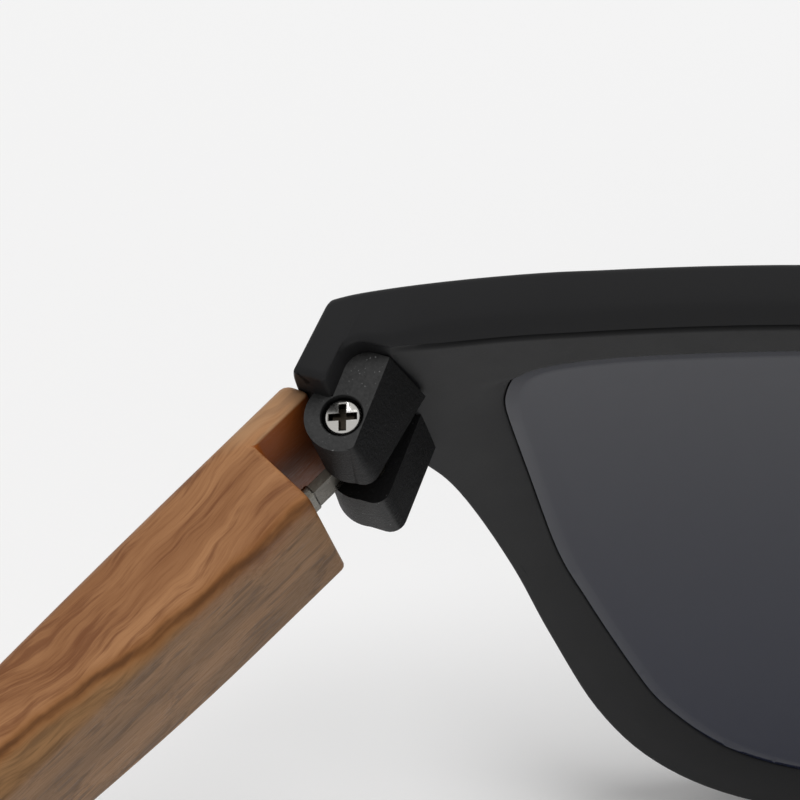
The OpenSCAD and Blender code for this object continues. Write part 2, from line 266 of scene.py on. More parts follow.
def fill_between(bm: Mesh, rings: Sequence[list], up: float) -> None:
    """Fills the flat area that the rings bound, leaving holes open."""
    edges = [edge for ring in rings for edge in ring_edges(bm, ring)]
    bmesh.ops.triangle_fill(bm, use_beauty=True, edges=edges, normal=(0, 0, up))


def cut_lines(bm: Mesh, axis: int, places: Iterable[float]) -> None:
    """Cuts the mesh with planes square to one axis, so that it can be bent smoothly."""
    normal = Vector((0, 0, 0))
    normal[axis] = 1
    for place in places:
        geom = bm.verts[:] + bm.edges[:] + bm.faces[:]
        bmesh.ops.bisect_plane(bm, geom=geom, dist=MERGE, plane_co=normal * place, plane_no=normal)


def cut_grid(bm: Mesh, cell: float, half: float, low: float, high: float) -> None:
    """Cuts a flat plate into cells, from -half to half across and from low to high."""
    cut_lines(bm, 0, spaced(-half, half, cell))
    cut_lines(bm, 1, spaced(low, high, cell))


def sharp_edges(bm: Mesh, degrees: float, keep: Callable | None = None) -> list:
    """The edges that turn by more than an angle, or those of them that a test keeps."""
    limit = math.radians(degrees)
    found = [e for e in bm.edges if e.is_manifold and e.calc_face_angle() > limit]
    return [e for e in found if keep is None or keep(e)]


def round_edges(bm: Mesh, edges: list, offset: float, segments: int = 3) -> None:
    """Rounds edges with a bevel."""
    bmesh.ops.bevel(bm, geom=edges, offset=offset, offset_type="OFFSET", segments=segments, profile=0.5,
                    affect="EDGES", clamp_overlap=True, loop_slide=True, material=-1)


def paint(bm: Mesh, name: str, value: Callable[[Vert], float]) -> None:
    """Writes a value on every vertex, for a finish to read.

    Args:
        bm: the mesh.
        name: the value's name.
        value: gives the value of one vertex.
    """
    layer = bm.verts.layers.float.new(name)
    for vert in bm.verts:
        vert[layer] = value(vert)


class Piece:
    """A new piece of the object: one mesh with its finish, body, node and slot."""

    def __init__(self, name: str, body: str, node: str, slot: str) -> None:
        """Names the piece and says what it rides on and stands for.

        Args:
            name: the piece's name.
            body: the body it rides on.
            node: the node it replaces.
            slot: the record's material slot; not used.
        """
        self.name = name
        self.body = body
        self.node = node
        self.slot = slot
        self.bm = bmesh.new()

    def finish(self, place: Matrix, material: Material, sharp: float = SHARP,
               weighted: bool = False) -> None:
        """Puts the mesh in its place and makes the object.

        Args:
            place: from the mesh's own millimetres to the shared frame.
            material: its finish.
            sharp: edges that turn by more than this many degrees stay sharp.
            weighted: whether flat faces keep their shading up to the bevels.
        """
        bm = self.bm
        bmesh.ops.remove_doubles(bm, verts=bm.verts, dist=MERGE)
        bmesh.ops.transform(bm, matrix=place, verts=bm.verts)
        bmesh.ops.recalc_face_normals(bm, faces=bm.faces)
        mesh = bpy.data.meshes.new(self.name)
        bm.to_mesh(mesh)
        bm.free()
        mesh.shade_smooth()
        mesh.set_sharp_from_angle(angle=math.radians(sharp))
        mesh.materials.append(material)
        obj = bpy.data.objects.new(self.name, mesh)
        bpy.context.scene.collection.objects.link(obj)
        if weighted:
            obj.modifiers.new("even_shading", "WEIGHTED_NORMAL").keep_sharp = True
        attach(obj, self.body)
        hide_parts(self.node)
        log.info("%s: %d faces, on %s", self.name, len(mesh.polygons), self.body)


def grey(value: float, blue: float = 1.0) -> Colour:
    """A grey, a little blue where blue is over 1."""
    return (value, value, value * blue, 1.0)


class Tree:
    """A node tree with short calls to add and join nodes."""

    def __init__(self, tree: NodeTree) -> None:
        """Keeps the tree."""
        self.tree = tree

    def add(self, kind: str, sockets: dict | None = None, **settings) -> bpy.types.Node:
        """Adds a node.

        Args:
            kind: the node's type name.
            sockets: values or other sockets for its inputs, by name or number.
            settings: the node's own options.
        Returns:
            The node.
        """
        node = self.tree.nodes.new(kind)
        for name, value in settings.items():
            setattr(node, name, value)
        for key, value in (sockets or {}).items():
            self.feed(node.inputs[key], value)
        return node

    def feed(self, socket: Socket, value: object) -> None:
        """Sets an input to a plain value, or joins it to another socket."""
        if isinstance(value, Socket):
            self.tree.links.new(value, socket)
        else:
            socket.default_value = value

    def spot(self) -> Socket:
        """The place on the object."""
        return self.add("ShaderNodeTexCoord").outputs["Object"]

    def painted(self, name: str, output: str = "Fac") -> Socket:
        """A value that was written on the mesh."""
        return self.add("ShaderNodeAttribute", attribute_name=name).outputs[output]

    def math(self, operation: str, *values: object, clamp: bool = False) -> Socket:
        """The result of one sum."""
        node = self.add("ShaderNodeMath", dict(enumerate(values)), operation=operation, use_clamp=clamp)
        return node.outputs[0]

    def blend(self, share: object, a: object, b: object) -> Socket:
        """A colour between two others, through the colour sockets of a mix node."""
        node = self.add("ShaderNodeMix", {0: share, 6: a, 7: b}, data_type="RGBA")
        return node.outputs[2]

    def shade(self, share: object, value: float, spread: float, blue: float = 1.0) -> Socket:
        """A grey that swings to either side by a share of itself."""
        return self.blend(share, grey(value * (1 - spread), blue), grey(value * (1 + spread), blue))

    def remap(self, value: object, low: float, high: float, to_low: float = 0.0,
              to_high: float = 1.0) -> Socket:
        """A value moved from one range to another, smoothly and with its ends held."""
        sockets = {"Value": value, "From Min": low, "From Max": high, "To Min": to_low, "To Max": to_high}
        node = self.add("ShaderNodeMapRange", sockets, interpolation_type="SMOOTHSTEP")
        return node.outputs["Result"]

    def noise(self, vector: object, scale: object, detail: float, rough: float = 0.5) -> Socket:
        """Plain noise from 0 to 1."""
        sockets = {"Vector": vector, "Scale": scale, "Detail": detail, "Roughness": rough}
        return self.add("ShaderNodeTexNoise", sockets).outputs["Fac"]

    def stretch(self, vector: object, scale: Place, shift: Place = (0, 0, 0)) -> Socket:
        """Coordinates scaled by a different amount along each axis."""
        sockets = {"Vector": vector, "Scale": tuple(scale), "Location": tuple(shift)}
        return self.add("ShaderNodeMapping", sockets).outputs["Vector"]

    def grain(self, group: NodeTree, vector: object, grain: float, specks: float) -> Sequence[Socket]:
        """The shared fine grain, placed with its own values.

        Args:
            group: the node group.
            vector: where the grain is read.
            grain: how fine it is.
            specks: how many light specks it has.
        Returns:
            The group's outputs by name.
        """
        sockets = {"Vector": vector, "Grain": grain, "Specks": specks}
        return self.add("ShaderNodeGroup", sockets, node_tree=group).outputs

    def relief(self, shader: bpy.types.Node, height: object, strength: float, distance: float) -> None:
        """Feeds a fine relief to a shader, with its distance in metres."""
        sockets = {"Height": height, "Strength": strength, "Distance": distance}
        self.feed(shader.inputs["Normal"], self.add("ShaderNodeBump", sockets).outputs["Normal"])


def new_group(name: str, inputs: dict[str, str], outputs: dict[str, str]) -> tuple[Tree, object, object]:
    """An empty shader node group with its sockets.

    Args:
        name: the group's name.
        inputs: socket type by input name.
        outputs: socket type by output name.
    Returns:
        The tree, the group's input node and its output node.
    """
    tree = bpy.data.node_groups.new(name, "ShaderNodeTree")
    for direction, sockets in (("INPUT", inputs), ("OUTPUT", outputs)):
        for socket, kind in sockets.items():
            tree.interface.new_socket(socket, in_out=direction, socket_type=kind)
    helper = Tree(tree)
    return helper, helper.add("NodeGroupInput"), helper.add("NodeGroupOutput")


def material_tree(name: str) -> tuple[Material, Tree, bpy.types.Node]:
    """A new material with its tree and its main shader."""
    material = bpy.data.materials.new(name)
    material.use_nodes = True
    tree = Tree(material.node_tree)
    return material, tree, material.node_tree.nodes["Principled BSDF"]


@dataclass(frozen=True)
class FineGrain:
    """Fine moulded or drawn grain: a slow mottle, a fine height and a scatter of light specks."""

    mottle_scale: float = 0.06
    mottle: tuple[float, float] = (5.0, 0.6)
    height: tuple[float, float] = (6.0, 0.65)
    speck_scale: float = 1.5
    speck: tuple[float, float] = (1.0, 0.5)
    speck_limit: float = 0.84
    speck_spread: float = 0.16
    speck_edge: float = 14.0

    def group(self) -> NodeTree:
        """The grain as a shader node group."""
        inputs = {"Vector": "NodeSocketVector", "Grain": "NodeSocketFloat", "Specks": "NodeSocketFloat"}
        outputs = {name: "NodeSocketFloat" for name in ("Mottle", "Height", "Speck")}
        tree, given, out = new_group("fine_grain", inputs, outputs)
        vector, grain, specks = (given.outputs[name] for name in inputs)
        slow = tree.math("MULTIPLY", grain, self.mottle_scale)
        tree.feed(out.inputs["Mottle"], tree.noise(vector, slow, *self.mottle))
        tree.feed(out.inputs["Height"], tree.noise(vector, grain, *self.height))
        cells = tree.math("MULTIPLY", grain, self.speck_scale)
        spots = tree.noise(vector, cells, *self.speck)
        limit = tree.math("SUBTRACT", self.speck_limit, tree.math("MULTIPLY", specks, self.speck_spread))
        over = tree.math("SUBTRACT", spots, limit)
        tree.feed(out.inputs["Speck"], tree.math("MULTIPLY", over, self.speck_edge, clamp=True))
        return tree.tree


@dataclass(frozen=True)
class MouldedPlastic:
    """Black plastic from a mould: satin or grained, with a little dust in the grain, and faces that the
    mesh marks painted lighter as lit.
    """

    name: str
    colour: float
    speck_colour: float
    roughness: float
    grain: float
    bump: float
    specks: float
    gloss: float = 0.22
    # lighter grey of the faces that are painted as lit
    worn: float = 0.045
    blue: float = 1.06
    colour_spread: float = 0.1
    worn_spread: float = 0.5
    rough_spread: float = 0.02
    dust: float = 0.2
    # more pale specks on the faces painted as lit: partly dust, partly painted glints
    worn_dust: float = 0.8
    relief: float = 0.0002

    def material(self, grain_group: NodeTree) -> Material:
        """The finish as a material.

        Args:
            grain_group: the shared fine grain.
        Returns:
            The material.
        """
        material, tree, shader = material_tree(self.name)
        grain = tree.grain(grain_group, tree.spot(), self.grain, self.specks)
        body = tree.shade(grain["Mottle"], self.colour, self.colour_spread, self.blue)
        pale = tree.shade(grain["Height"], self.worn, self.worn_spread)
        # Painted light: faces that the mesh marks take the lighter grey, as lit, and carry more pale
        # specks
        painted_light = tree.painted("painted_light")
        body = tree.blend(painted_light, body, pale)
        held = tree.math("MULTIPLY_ADD", painted_light, self.worn_dust, self.dust)
        dust = tree.math("MULTIPLY", grain["Speck"], held)
        tree.feed(shader.inputs["Base Color"], tree.blend(dust, body, grey(self.speck_colour)))
        rough = (self.roughness - self.rough_spread, self.roughness + self.rough_spread)
        tree.feed(shader.inputs["Roughness"], tree.remap(grain["Mottle"], *NOISE_SPAN, *rough))
        tree.relief(shader, grain["Height"], self.bump, self.relief)
        shader.inputs["Specular IOR Level"].default_value = self.gloss
        return material


@dataclass(frozen=True)
class TintedLens:
    """A polished dark grey lens, a little see-through, painted slightly darker towards its foot as shade.
    """

    name: str
    upper: Colour
    lower: Colour
    clear: float
    low: float
    high: float
    grain: float = 900.0
    specks: float = 0.05
    dust: float = 0.2
    polish: tuple[float, float] = (0.07, 0.12)
    gloss: float = 0.5

    def material(self, grain_group: NodeTree) -> Material:
        """The finish as a material.

        Args:
            grain_group: the shared fine grain.
        Returns:
            The material.
        """
        material, tree, shader = material_tree(self.name)
        spot = tree.spot()
        height = tree.add("ShaderNodeSeparateXYZ", {0: spot}).outputs["Z"]
        # Painted shade: the tint darkens towards the lens's foot
        tint_and_shade = tree.blend(tree.remap(height, self.low, self.high), self.lower, self.upper)
        grain = tree.grain(grain_group, spot, self.grain, self.specks)
        tree.feed(shader.inputs["Base Color"], tree.blend(grain["Speck"], tint_and_shade, grey(self.dust)))
        tree.feed(shader.inputs["Roughness"], tree.remap(grain["Mottle"], *NOISE_SPAN, *self.polish))
        shader.inputs["Alpha"].default_value = 1.0 - self.clear
        shader.inputs["Specular IOR Level"].default_value = self.gloss
        return material


@dataclass(frozen=True)
class DrawnMetal:
    """Plain or plated metal with fine drawing lines, painted dark as shade where the mesh marks it."""

    name: str
    colour: Colour
    roughness: float
    grain: float = 2500.0
    specks: float = 0.3
    lines: Place = (1.0, 0.25, 1.0)
    # colour of the painted shade
    grime: Colour = (0.05, 0.042, 0.032, 1.0)
    dull: float = 0.7
    smooth: float = 0.7
    coarse: float = 1.4
    bump: float = 0.08
    relief: float = 0.00005

    def material(self, grain_group: NodeTree) -> Material:
        """The finish as a material.

        Args:
            grain_group: the shared fine grain.
        Returns:
            The material.
        """
        material, tree, shader = material_tree(self.name)
        grain = tree.grain(grain_group, tree.stretch(tree.spot(), self.lines), self.grain, self.specks)
        dull = tuple(self.dull * c for c in self.colour[:3]) + (1.0,)
        plain = tree.blend(grain["Mottle"], dull, self.colour)
        # Painted shade: marked places take the dark colour, as shade
        tree.feed(shader.inputs["Base Color"], tree.blend(tree.painted("grime"), plain, self.grime))
        rough = (self.roughness * self.smooth, self.roughness * self.coarse)
        tree.feed(shader.inputs["Roughness"], tree.remap(grain["Height"], *NOISE_SPAN, *rough))
        tree.relief(shader, grain["Height"], self.bump, self.relief)
        shader.inputs["Metallic"].default_value = 1.0
        return material


@dataclass(frozen=True)
class WoodTone:
    """The colours of one zone of the wood: its light ground, its deeper ground and its streaks."""

    pale: Colour
    deep: Colour
    streak: Colour


@dataclass(frozen=True)
class WoodLayer:
    """One layer of the wood's grain: how it is stretched, how fine and how rough it is."""

    stretch: Place
    detail: float
    rough: float
    shift: Place = (0, 0, 0)

    def noise(self, tree: Tree, vector: object) -> Socket:
        """The layer's noise, from 0 to 1."""
        return tree.noise(tree.stretch(vector, self.stretch, self.shift), 1.0, self.detail, self.rough)


@dataclass(frozen=True)
class OiledWood:
    """Sanded wood in a warm and a cool zone, parted by one brown vein that wanders along it; the cool
    zone, on the inner and lower side, is painted darker and greyer as shade.
    """

    name: str
    warm: WoodTone
    cool: WoodTone
    vein: Colour
    glow: Colour
    # colour of the painted shade beside the tongue, deep orange as with light bounced between the wood's
    # faces
    nook_shade: Colour
    # colour of the painted light on top of the tongue
    lit_top: Colour
    wander: WoodLayer = WoodLayer((0.09, 0.07, 0.09), 3.0, 0.5)
    broad: WoodLayer = WoodLayer((0.42, 0.05, 0.35), 5.0, 0.6)
    streak: WoodLayer = WoodLayer((1.7, 0.13, 1.5), 4.0, 0.62, (3, 1, 7))
    fibre: WoodLayer = WoodLayer((8.0, 0.3, 8.0), 3.0, 0.6)
    ripple: WoodLayer = WoodLayer((1, 0.3, 1), 3.0, 0.55, (0, 3.3, 0))
    swing: WoodLayer = WoodLayer((1, 0.03, 1), 2.0, 0.5, (0, 6.1, 0))
    wander_reach: float = 6.0
    # Bands as (noise or distance from, to, share from, to)
    zone_band: Band = (0.3, -0.6, 0.0, 1.0)
    broad_band: Band = (0.35, 0.65, 0.0, 1.0)
    streak_band: Band = (0.48, 0.66, 0.0, 0.75)
    fibre_band: Band = (0.42, 0.8, 0.0, 0.4)
    glow_band: Band = (1.0, 0.1, 0.0, 0.75)
    core_band: Band = (0.45, 0.05, 0.0, 0.92)
    core_break: Band = (0.3, 0.55, 0.5, 1.0)
    pore_band: Band = (0.5, 0.7, 0.0, 0.5)
    swing_band: Band = (30.0, 60.0, 0.0, 5.0)
    roughness: tuple[float, float] = (0.42, 0.6)
    fibre_height: float = 0.5
    bump: float = 0.25
    relief: float = 0.0001
    gloss: float = 0.25
    vein_from: float = -2.5
    vein_travel: float = 2.4
    vein_curve: float = 1.8
    vein_start: float = 3.4
    vein_end: float = 30.0
    ripple_width: float = 0.9
    top_z: float = 6.6
    lean: float = 0.25

    def material(self) -> Material:
        """The finish as a material."""
        material, tree, shader = material_tree(self.name)
        spot = tree.painted("grain", "Vector")
        axes = tree.add("ShaderNodeSeparateXYZ", {0: spot}).outputs
        pull = tree.math("MULTIPLY", self.wander.noise(tree, spot), self.wander_reach)
        pulled = tree.math("ADD", axes["X"], pull)
        bent = tree.add("ShaderNodeCombineXYZ", {0: pulled, 1: axes["Y"], 2: axes["Z"]}).outputs[0]
        broad = self.broad.noise(tree, bent)
        streak = self.streak.noise(tree, bent)
        fibre = self.fibre.noise(tree, bent)
        off = self._from_vein(tree, axes)
        # Painted shade: the inner, lower side of the vein takes the darker, greyer tones
        zone = tree.remap(off, *self.zone_band)
        pale = tree.blend(zone, self.warm.pale, self.cool.pale)
        deep = tree.blend(zone, self.warm.deep, self.cool.deep)
        lines = tree.blend(zone, self.warm.streak, self.cool.streak)
        colour = tree.blend(tree.remap(broad, *self.broad_band), pale, deep)
        colour = tree.blend(tree.remap(streak, *self.streak_band), colour, lines)
        colour = tree.blend(tree.remap(fibre, *self.fibre_band), colour, lines)
        away = tree.math("ABSOLUTE", off)
        colour = tree.blend(tree.remap(away, *self.glow_band), colour, self.glow)
        breaks = tree.remap(streak, *self.core_break)
        core = tree.math("MULTIPLY", tree.remap(away, *self.core_band), breaks)
        colour = tree.blend(core, colour, self.vein)
        # Painted shade on the step beside the tongue
        colour = tree.blend(tree.painted("nook_shade"), colour, self.nook_shade)
        # Painted light: the top of the tongue is paler, as lit
        colour = tree.blend(tree.painted("lit_top"), colour, self.lit_top)
        tree.feed(shader.inputs["Base Color"], colour)
        tree.feed(shader.inputs["Roughness"], tree.remap(fibre, *NOISE_SPAN, *self.roughness))
        raised = tree.math("MULTIPLY", fibre, self.fibre_height)
        height = tree.math("SUBTRACT", raised, tree.remap(streak, *self.pore_band))
        tree.relief(shader, height, self.bump, self.relief)
        shader.inputs["Specular IOR Level"].default_value = self.gloss
        return material

    def _from_vein(self, tree: Tree, axes: object) -> Socket:
        """The distance from the vein, a leaning sheet through the wood, over 0 on its warm side.

        Args:
            tree: the material's tree.
            axes: the grain's separate X, Y and Z, in millimetres.
        Returns:
            The distance in millimetres.
        """
        along = tree.add("ShaderNodeCombineXYZ", {1: axes["Y"]}).outputs[0]
        share = tree.remap(axes["Y"], self.vein_start, self.vein_end)
        drift = tree.math("MULTIPLY", tree.math("POWER", share, self.vein_curve), self.vein_travel)
        start = self.vein_from - self.ripple_width / 2
        ripple = tree.math("MULTIPLY_ADD", self.ripple.noise(tree, along), self.ripple_width, start)
        sway = tree.math("SUBTRACT", self.swing.noise(tree, along), 0.5)
        swing = tree.math("MULTIPLY", sway, tree.remap(axes["Y"], *self.swing_band))
        line = tree.math("ADD", tree.math("ADD", drift, ripple), swing)
        lean = tree.math("MULTIPLY", tree.math("SUBTRACT", self.top_z, axes["Z"]), self.lean)
        return tree.math("SUBTRACT", axes["X"], tree.math("ADD", line, lean))


@dataclass
class Finishes:
    """Every finish of the object, by the record's slot names."""

    made: dict[str, Material] = field(default_factory=dict)

    def build(self) -> None:
        """Makes the materials."""
        grain = FineGrain().group()
        plastics = (
            MouldedPlastic("black_plastic", 0.011, 0.04, 0.5, 5200.0, 0.05, 0.1),
            # hinge plastic with dark sides; its top and rear faces are painted lighter as lit
            MouldedPlastic("hinge_plastic", 0.003, 0.2, 0.55, 4200.0, 0.5, 0.75, 0.16),
        )
        metals = (
            DrawnMetal("slider_steel", (0.26, 0.245, 0.21, 1), 0.28),
            DrawnMetal("spring_steel", (0.5, 0.5, 0.5, 1), 0.32),
            DrawnMetal("screw_steel", (0.84, 0.82, 0.78, 1), 0.2),
            DrawnMetal("insert_brass", (0.72, 0.53, 0.25, 1), 0.3),
        )
        # the lower colour is the tint painted darker as shade
        upper = (0.009, 0.011, 0.024, 1)
        lower = (0.005, 0.008, 0.027, 1)
        lens = TintedLens("tinted_lens", upper, lower, clear=0.03, low=0.005, high=0.05)
        wood = OiledWood(
            "temple_wood",
            warm=WoodTone((0.4, 0.195, 0.086, 1), (0.28, 0.124, 0.051, 1), (0.16, 0.057, 0.022, 1)),
            # darker, greyer tones of the painted shade on the inner side
            cool=WoodTone((0.305, 0.162, 0.071, 1), (0.21, 0.111, 0.046, 1), (0.115, 0.06, 0.026, 1)),
            vein=(0.1, 0.038, 0.011, 1),
            glow=(0.24, 0.095, 0.026, 1),
            # painted shade beside the tongue
            nook_shade=(0.24, 0.06, 0.008, 1),
            # painted light on top of the tongue
            lit_top=(0.5, 0.31, 0.17, 1),
        )
        for finish in (*plastics, *metals, lens):
            self.made[finish.name] = finish.material(grain)
        self.made[wood.name] = wood.material()

    def dress(self, nodes: dict[str, bpy.types.Object], names: dict[str, str]) -> None:
        """Gives plain nodes of the frame their finish.

        Args:
            nodes: the frame's nodes.
            names: slot by node name.
        """
        for node, slot in names.items():
            nodes[node].data.materials.clear()
            nodes[node].data.materials.append(self.made[slot])
            log.info("%s: dressed in %s", node, slot)


@dataclass
class Front:
    """The moulded front: a leaning, hollow-curved plate with end pieces, brow step and nose pads."""

    bench: Bench
    thick: float = 4.0
    base_r: float = 130.0
    lean: float = math.radians(13)
    lens_mid: float = -14.5
    wall_x: float = 70.1
    lug_y: float = -0.9
    lug_edge: float = 0.3
    lug_turns: Sequence[float] = (0, 25, 50, 75, 90)
    seat_back: float = 4.45
    seat_up: float = 16.5
    seat_in: float = 2.05
    room_in: float = 1.9
    room_run: float = 0.4
    room_r: float = 1.5
    room_turns: Sequence[float] = (0, 18, 36, 54, 72, 84)
    hair: float = 0.005
    pad_reach: float = 5.4
    pad_mid: float = -11.8
    pad_half: float = 9.2
    pad_swell: float = 1.4
    pad_flare: float = 0.22
    pad_zone: float = 18.0
    pad_depth: float = 1.1
    pad_fade: float = 0.3
    cell: float = 2.0
    # Cells as (half of their width in all, lowest, highest)
    grid: Place = (66, -36, 17)
    lip_from: float = 64.0
    lip_to: float = 69.5
    top_from: float = 0.5
    top_over: float = 0.3
    upper_from: float = 0.35
    upper_over: float = 0.4
    groove: float = 0.96
    groove_rear: float = 1.14
    groove_front: float = 3.26
    half_steps: int = 6
    half: Profile = (
        (0, 13), (10, 13.5), (22, 15), (36, 16.2), (50, 16.95), (57, 17.5), (61, 18.05), (68.5, 18.85),
        (71.6, 18.9), (72.3, 18.2), (72.6, 15), (72.7, 12), (72.6, 9.6), (72, 8.3), (70.4, 7.3),
        (68.8, 5.6), (67.3, 3), (65.8, -0.6), (63.3, -9.5), (61.3, -17.1), (58.5, -25), (54.8, -30.6),
        (49.5, -34.4), (42, -36.6), (34, -37), (26.5, -35.5), (20, -31.8), (15, -26), (11.3, -18.5),
        (8.6, -10), (6.8, -3), (4.6, 2), (0, 4.2))
    opening_steps: int = 8
    opening: Profile = (
        (11.6, 8.6), (20, 11), (34, 12), (48, 12.3), (57, 12.7), (60.9, 12.1), (62.5, 9.6), (62.6, 5),
        (61.1, -7.8), (59.3, -14.6), (56.6, -21.9), (54.3, -26.3), (50.2, -30.6), (44.5, -33),
        (36.5, -33.7), (29.3, -32.4), (22.9, -28.8), (17.9, -22.6), (14.4, -14.5), (11.9, -6.1),
        (10.1, 1.6), (9.9, 6))
    # Edge sections as (distance in from the outline, depth from the rear face)
    plain_edge: Profile = (
        (0.6, 0), (0.45, 0), (0.34, 0), (0.26, 0), (0.2, 0.004), (0.15, 0.015), (0.11, 0.035),
        (0.075, 0.06), (0.045, 0.09), (0.022, 0.125), (0.006, 0.165), (0, 0.2))
    brow_edge: Profile = (
        (1.9, 0), (1.75, 0), (1.66, 0.02), (1.57, 0.08), (1.51, 0.18), (1.44, 0.32), (1.32, 0.32),
        (1.2, 0.16), (1.1, 0.06), (0.8, 0.3), (0.3, 0.75), (0, 1.3))
    end_edge: Profile = (
        (1.6, 0), (1.45, 0), (1.3, 0), (1.15, 0), (1.0, 0), (0.8, 0), (0.62, 0), (0.5, 0),
        (0.38, 0.03), (0.22, 0.12), (0.08, 0.28), (0, 0.5))
    face_edge: Profile = (
        (0, 3.45), (0.02, 3.65), (0.07, 3.8), (0.15, 3.91), (0.26, 3.98), (0.38, 4), (0.6, 4))
    # Opening sections as (distance out from the opening, depth from the rear face)
    rear_lip: Profile = (
        (1.9, 0), (1.6, 0.012), (1.25, 0.05), (0.9, 0.12), (0.55, 0.22), (0.25, 0.34), (0.06, 0.43),
        (0, 0.5), (0, 1.1))
    upper_lip: Profile = (
        (0.7, 0), (0.5, 0), (0.3, 0), (0.18, 0.01), (0.08, 0.04), (0.02, 0.09), (0, 0.16), (0, 0.6),
        (0, 1.1))
    face_lip: Profile = ((0, 3.62), (0.05, 3.8), (0.17, 3.93), (0.36, 4), (0.6, 4))

    @property
    def middle_y(self) -> float:
        """Depth of the front at its middle, where its rear face would meet the hinge blocks' seats."""
        across = self.bench.axis_x - self.seat_in
        up = self.seat_up - self.base_r * math.sin(self.lean)
        reach = math.sqrt(self.base_r**2 - across**2 - up**2)
        return reach - self.seat_back - self.base_r * math.cos(self.lean)

    def outline(self) -> Loop:
        """The outer outline, clockwise."""
        other = [(-x, v) for x, v in reversed(self.half[1:-1])]
        return spline_loop(list(self.half) + other, self.half_steps)

    def lens_line(self, side: Side) -> Loop:
        """The outline of one lens opening, clockwise."""
        loop = spline_loop(self.opening, self.opening_steps)
        if side is Side.LEFT:
            return loop
        return [Vector((-p.x, p.y)) for p in reversed(loop)]

    def placed(self, x: float, v: float, back: float) -> Vector:
        """A point across, up and back from the middle of the front, in the hinge frame."""
        sin, cos = math.sin(self.lean), math.cos(self.lean)
        return Vector((x, self.middle_y + back * cos - v * sin, self.lens_mid + back * sin + v * cos))

    def bend(self, flat: Vector) -> Vector:
        """Carries a point of the flat plate to the hinge frame.

        Args:
            flat: across, up, and depth from the rear face.
        Returns:
            The point on the curved, leaning front.
        """
        x, v, d = flat
        rise = math.sqrt(self.base_r**2 - x * x - v * v)
        slope = self.base_r / rise
        if d > self.thick / 2:
            back = self.base_r - math.sqrt((self.base_r + self.thick) ** 2 - x * x - v * v)
            back += (self.thick - d) * slope
        else:
            back = self._rear(x, v, self.base_r - rise) - d * slope
        pad = self._pad(x, v) * ease((self.pad_depth - d) / self.pad_fade)
        return self.placed(x + math.copysign(pad * self.pad_flare, x), v, back + pad)

    def _rear(self, x: float, v: float, shell: float) -> float:
        """How far back the rear face lies, with the end pieces and the rooms for the hinge blocks."""
        across = abs(x)
        if across < self.bench.axis_x - self.room_in:
            return shell
        if across > self.wall_x:
            dip = max(0.0, self.lug_edge - (across - self.wall_x))
            y = self.lug_y - self.lug_edge + math.sqrt(max(0.0, self.lug_edge**2 - dip**2))
        else:
            dip = max(0.0, across - self.wall_x + self.room_r)
            y = self.room_r - self.seat_back - math.sqrt(max(0.0, self.room_r**2 - dip**2))
        back = (y - self.middle_y + v * math.sin(self.lean)) / math.cos(self.lean)
        return back if across > self.wall_x else min(shell, back)

    def _pad(self, x: float, v: float) -> float:
        """How far a nose pad stands back from the rear face."""
        along = abs(v - self.pad_mid) / self.pad_half
        if abs(x) > self.pad_zone or along >= 1:
            return 0.0
        return self.pad_reach * math.cos(along * math.pi / 2) ** self.pad_swell

    def build(self, material: Material) -> None:
        """Makes the front.

        Args:
            material: its finish.
        """
        piece = Piece("front_frame_moulded", "front", "front_frame", "black_plastic")
        bm = piece.bm
        ends = [self._outer_rings(bm), *(self._opening_rings(bm, side) for side in Side)]
        fill_between(bm, [rear for rear, _ in ends], -1)
        fill_between(bm, [face for _, face in ends], 1)
        steps = self._wall_steps()
        for sign in (1, -1):
            cut_lines(bm, 0, [sign * x for x in steps])
        cut_grid(bm, self.cell, *self.grid)
        for vert in bm.verts:
            vert.co = self.bend(vert.co)
        piece.finish(self.bench.matrix, material)

    def _wall_steps(self) -> list[float]:
        """Where the plate is cut across, so that the rooms and the end pieces bend smoothly."""
        room = self.bench.axis_x - self.room_in
        steps = [room, room + self.room_run]
        for turn in self.room_turns:
            steps.append(self.wall_x - self.room_r * (1 - math.sin(math.radians(turn))))
        steps.append(self.wall_x - self.hair)
        for turn in self.lug_turns:
            steps.append(self.wall_x + self.hair + self.lug_edge * (1 - math.cos(math.radians(turn))))
        return steps

    def _outer_rings(self, bm: Mesh) -> tuple[list[Vert], list[Vert]]:
        """The rings round the outer edge, with the sections of the brow and the end pieces along the top.

        Args:
            bm: the mesh to add to.
        Returns:
            The ring on the rear face and the ring on the front face.
        """
        loop = self.outline()
        normals = outward_normals(loop)
        tops = [ease((n.y - self.top_from) / self.top_over) for n in normals]
        ends = [ease((abs(p.x) - self.lip_from) / (self.lip_to - self.lip_from)) for p in loop]
        sections = list(zip(self.plain_edge, self.brow_edge, self.end_edge))
        sections += [(point,) * 3 for point in self.face_edge]
        rows = []
        for plain, brow, end in sections:
            row = []
            for p, n, top, out in zip(loop, normals, tops, ends):
                inset, depth = (mix(a, mix(b, c, out), top) for a, b, c in zip(plain, brow, end))
                row.append((*(p - n * inset), depth))
            rows.append(row)
        return loft(bm, rows)

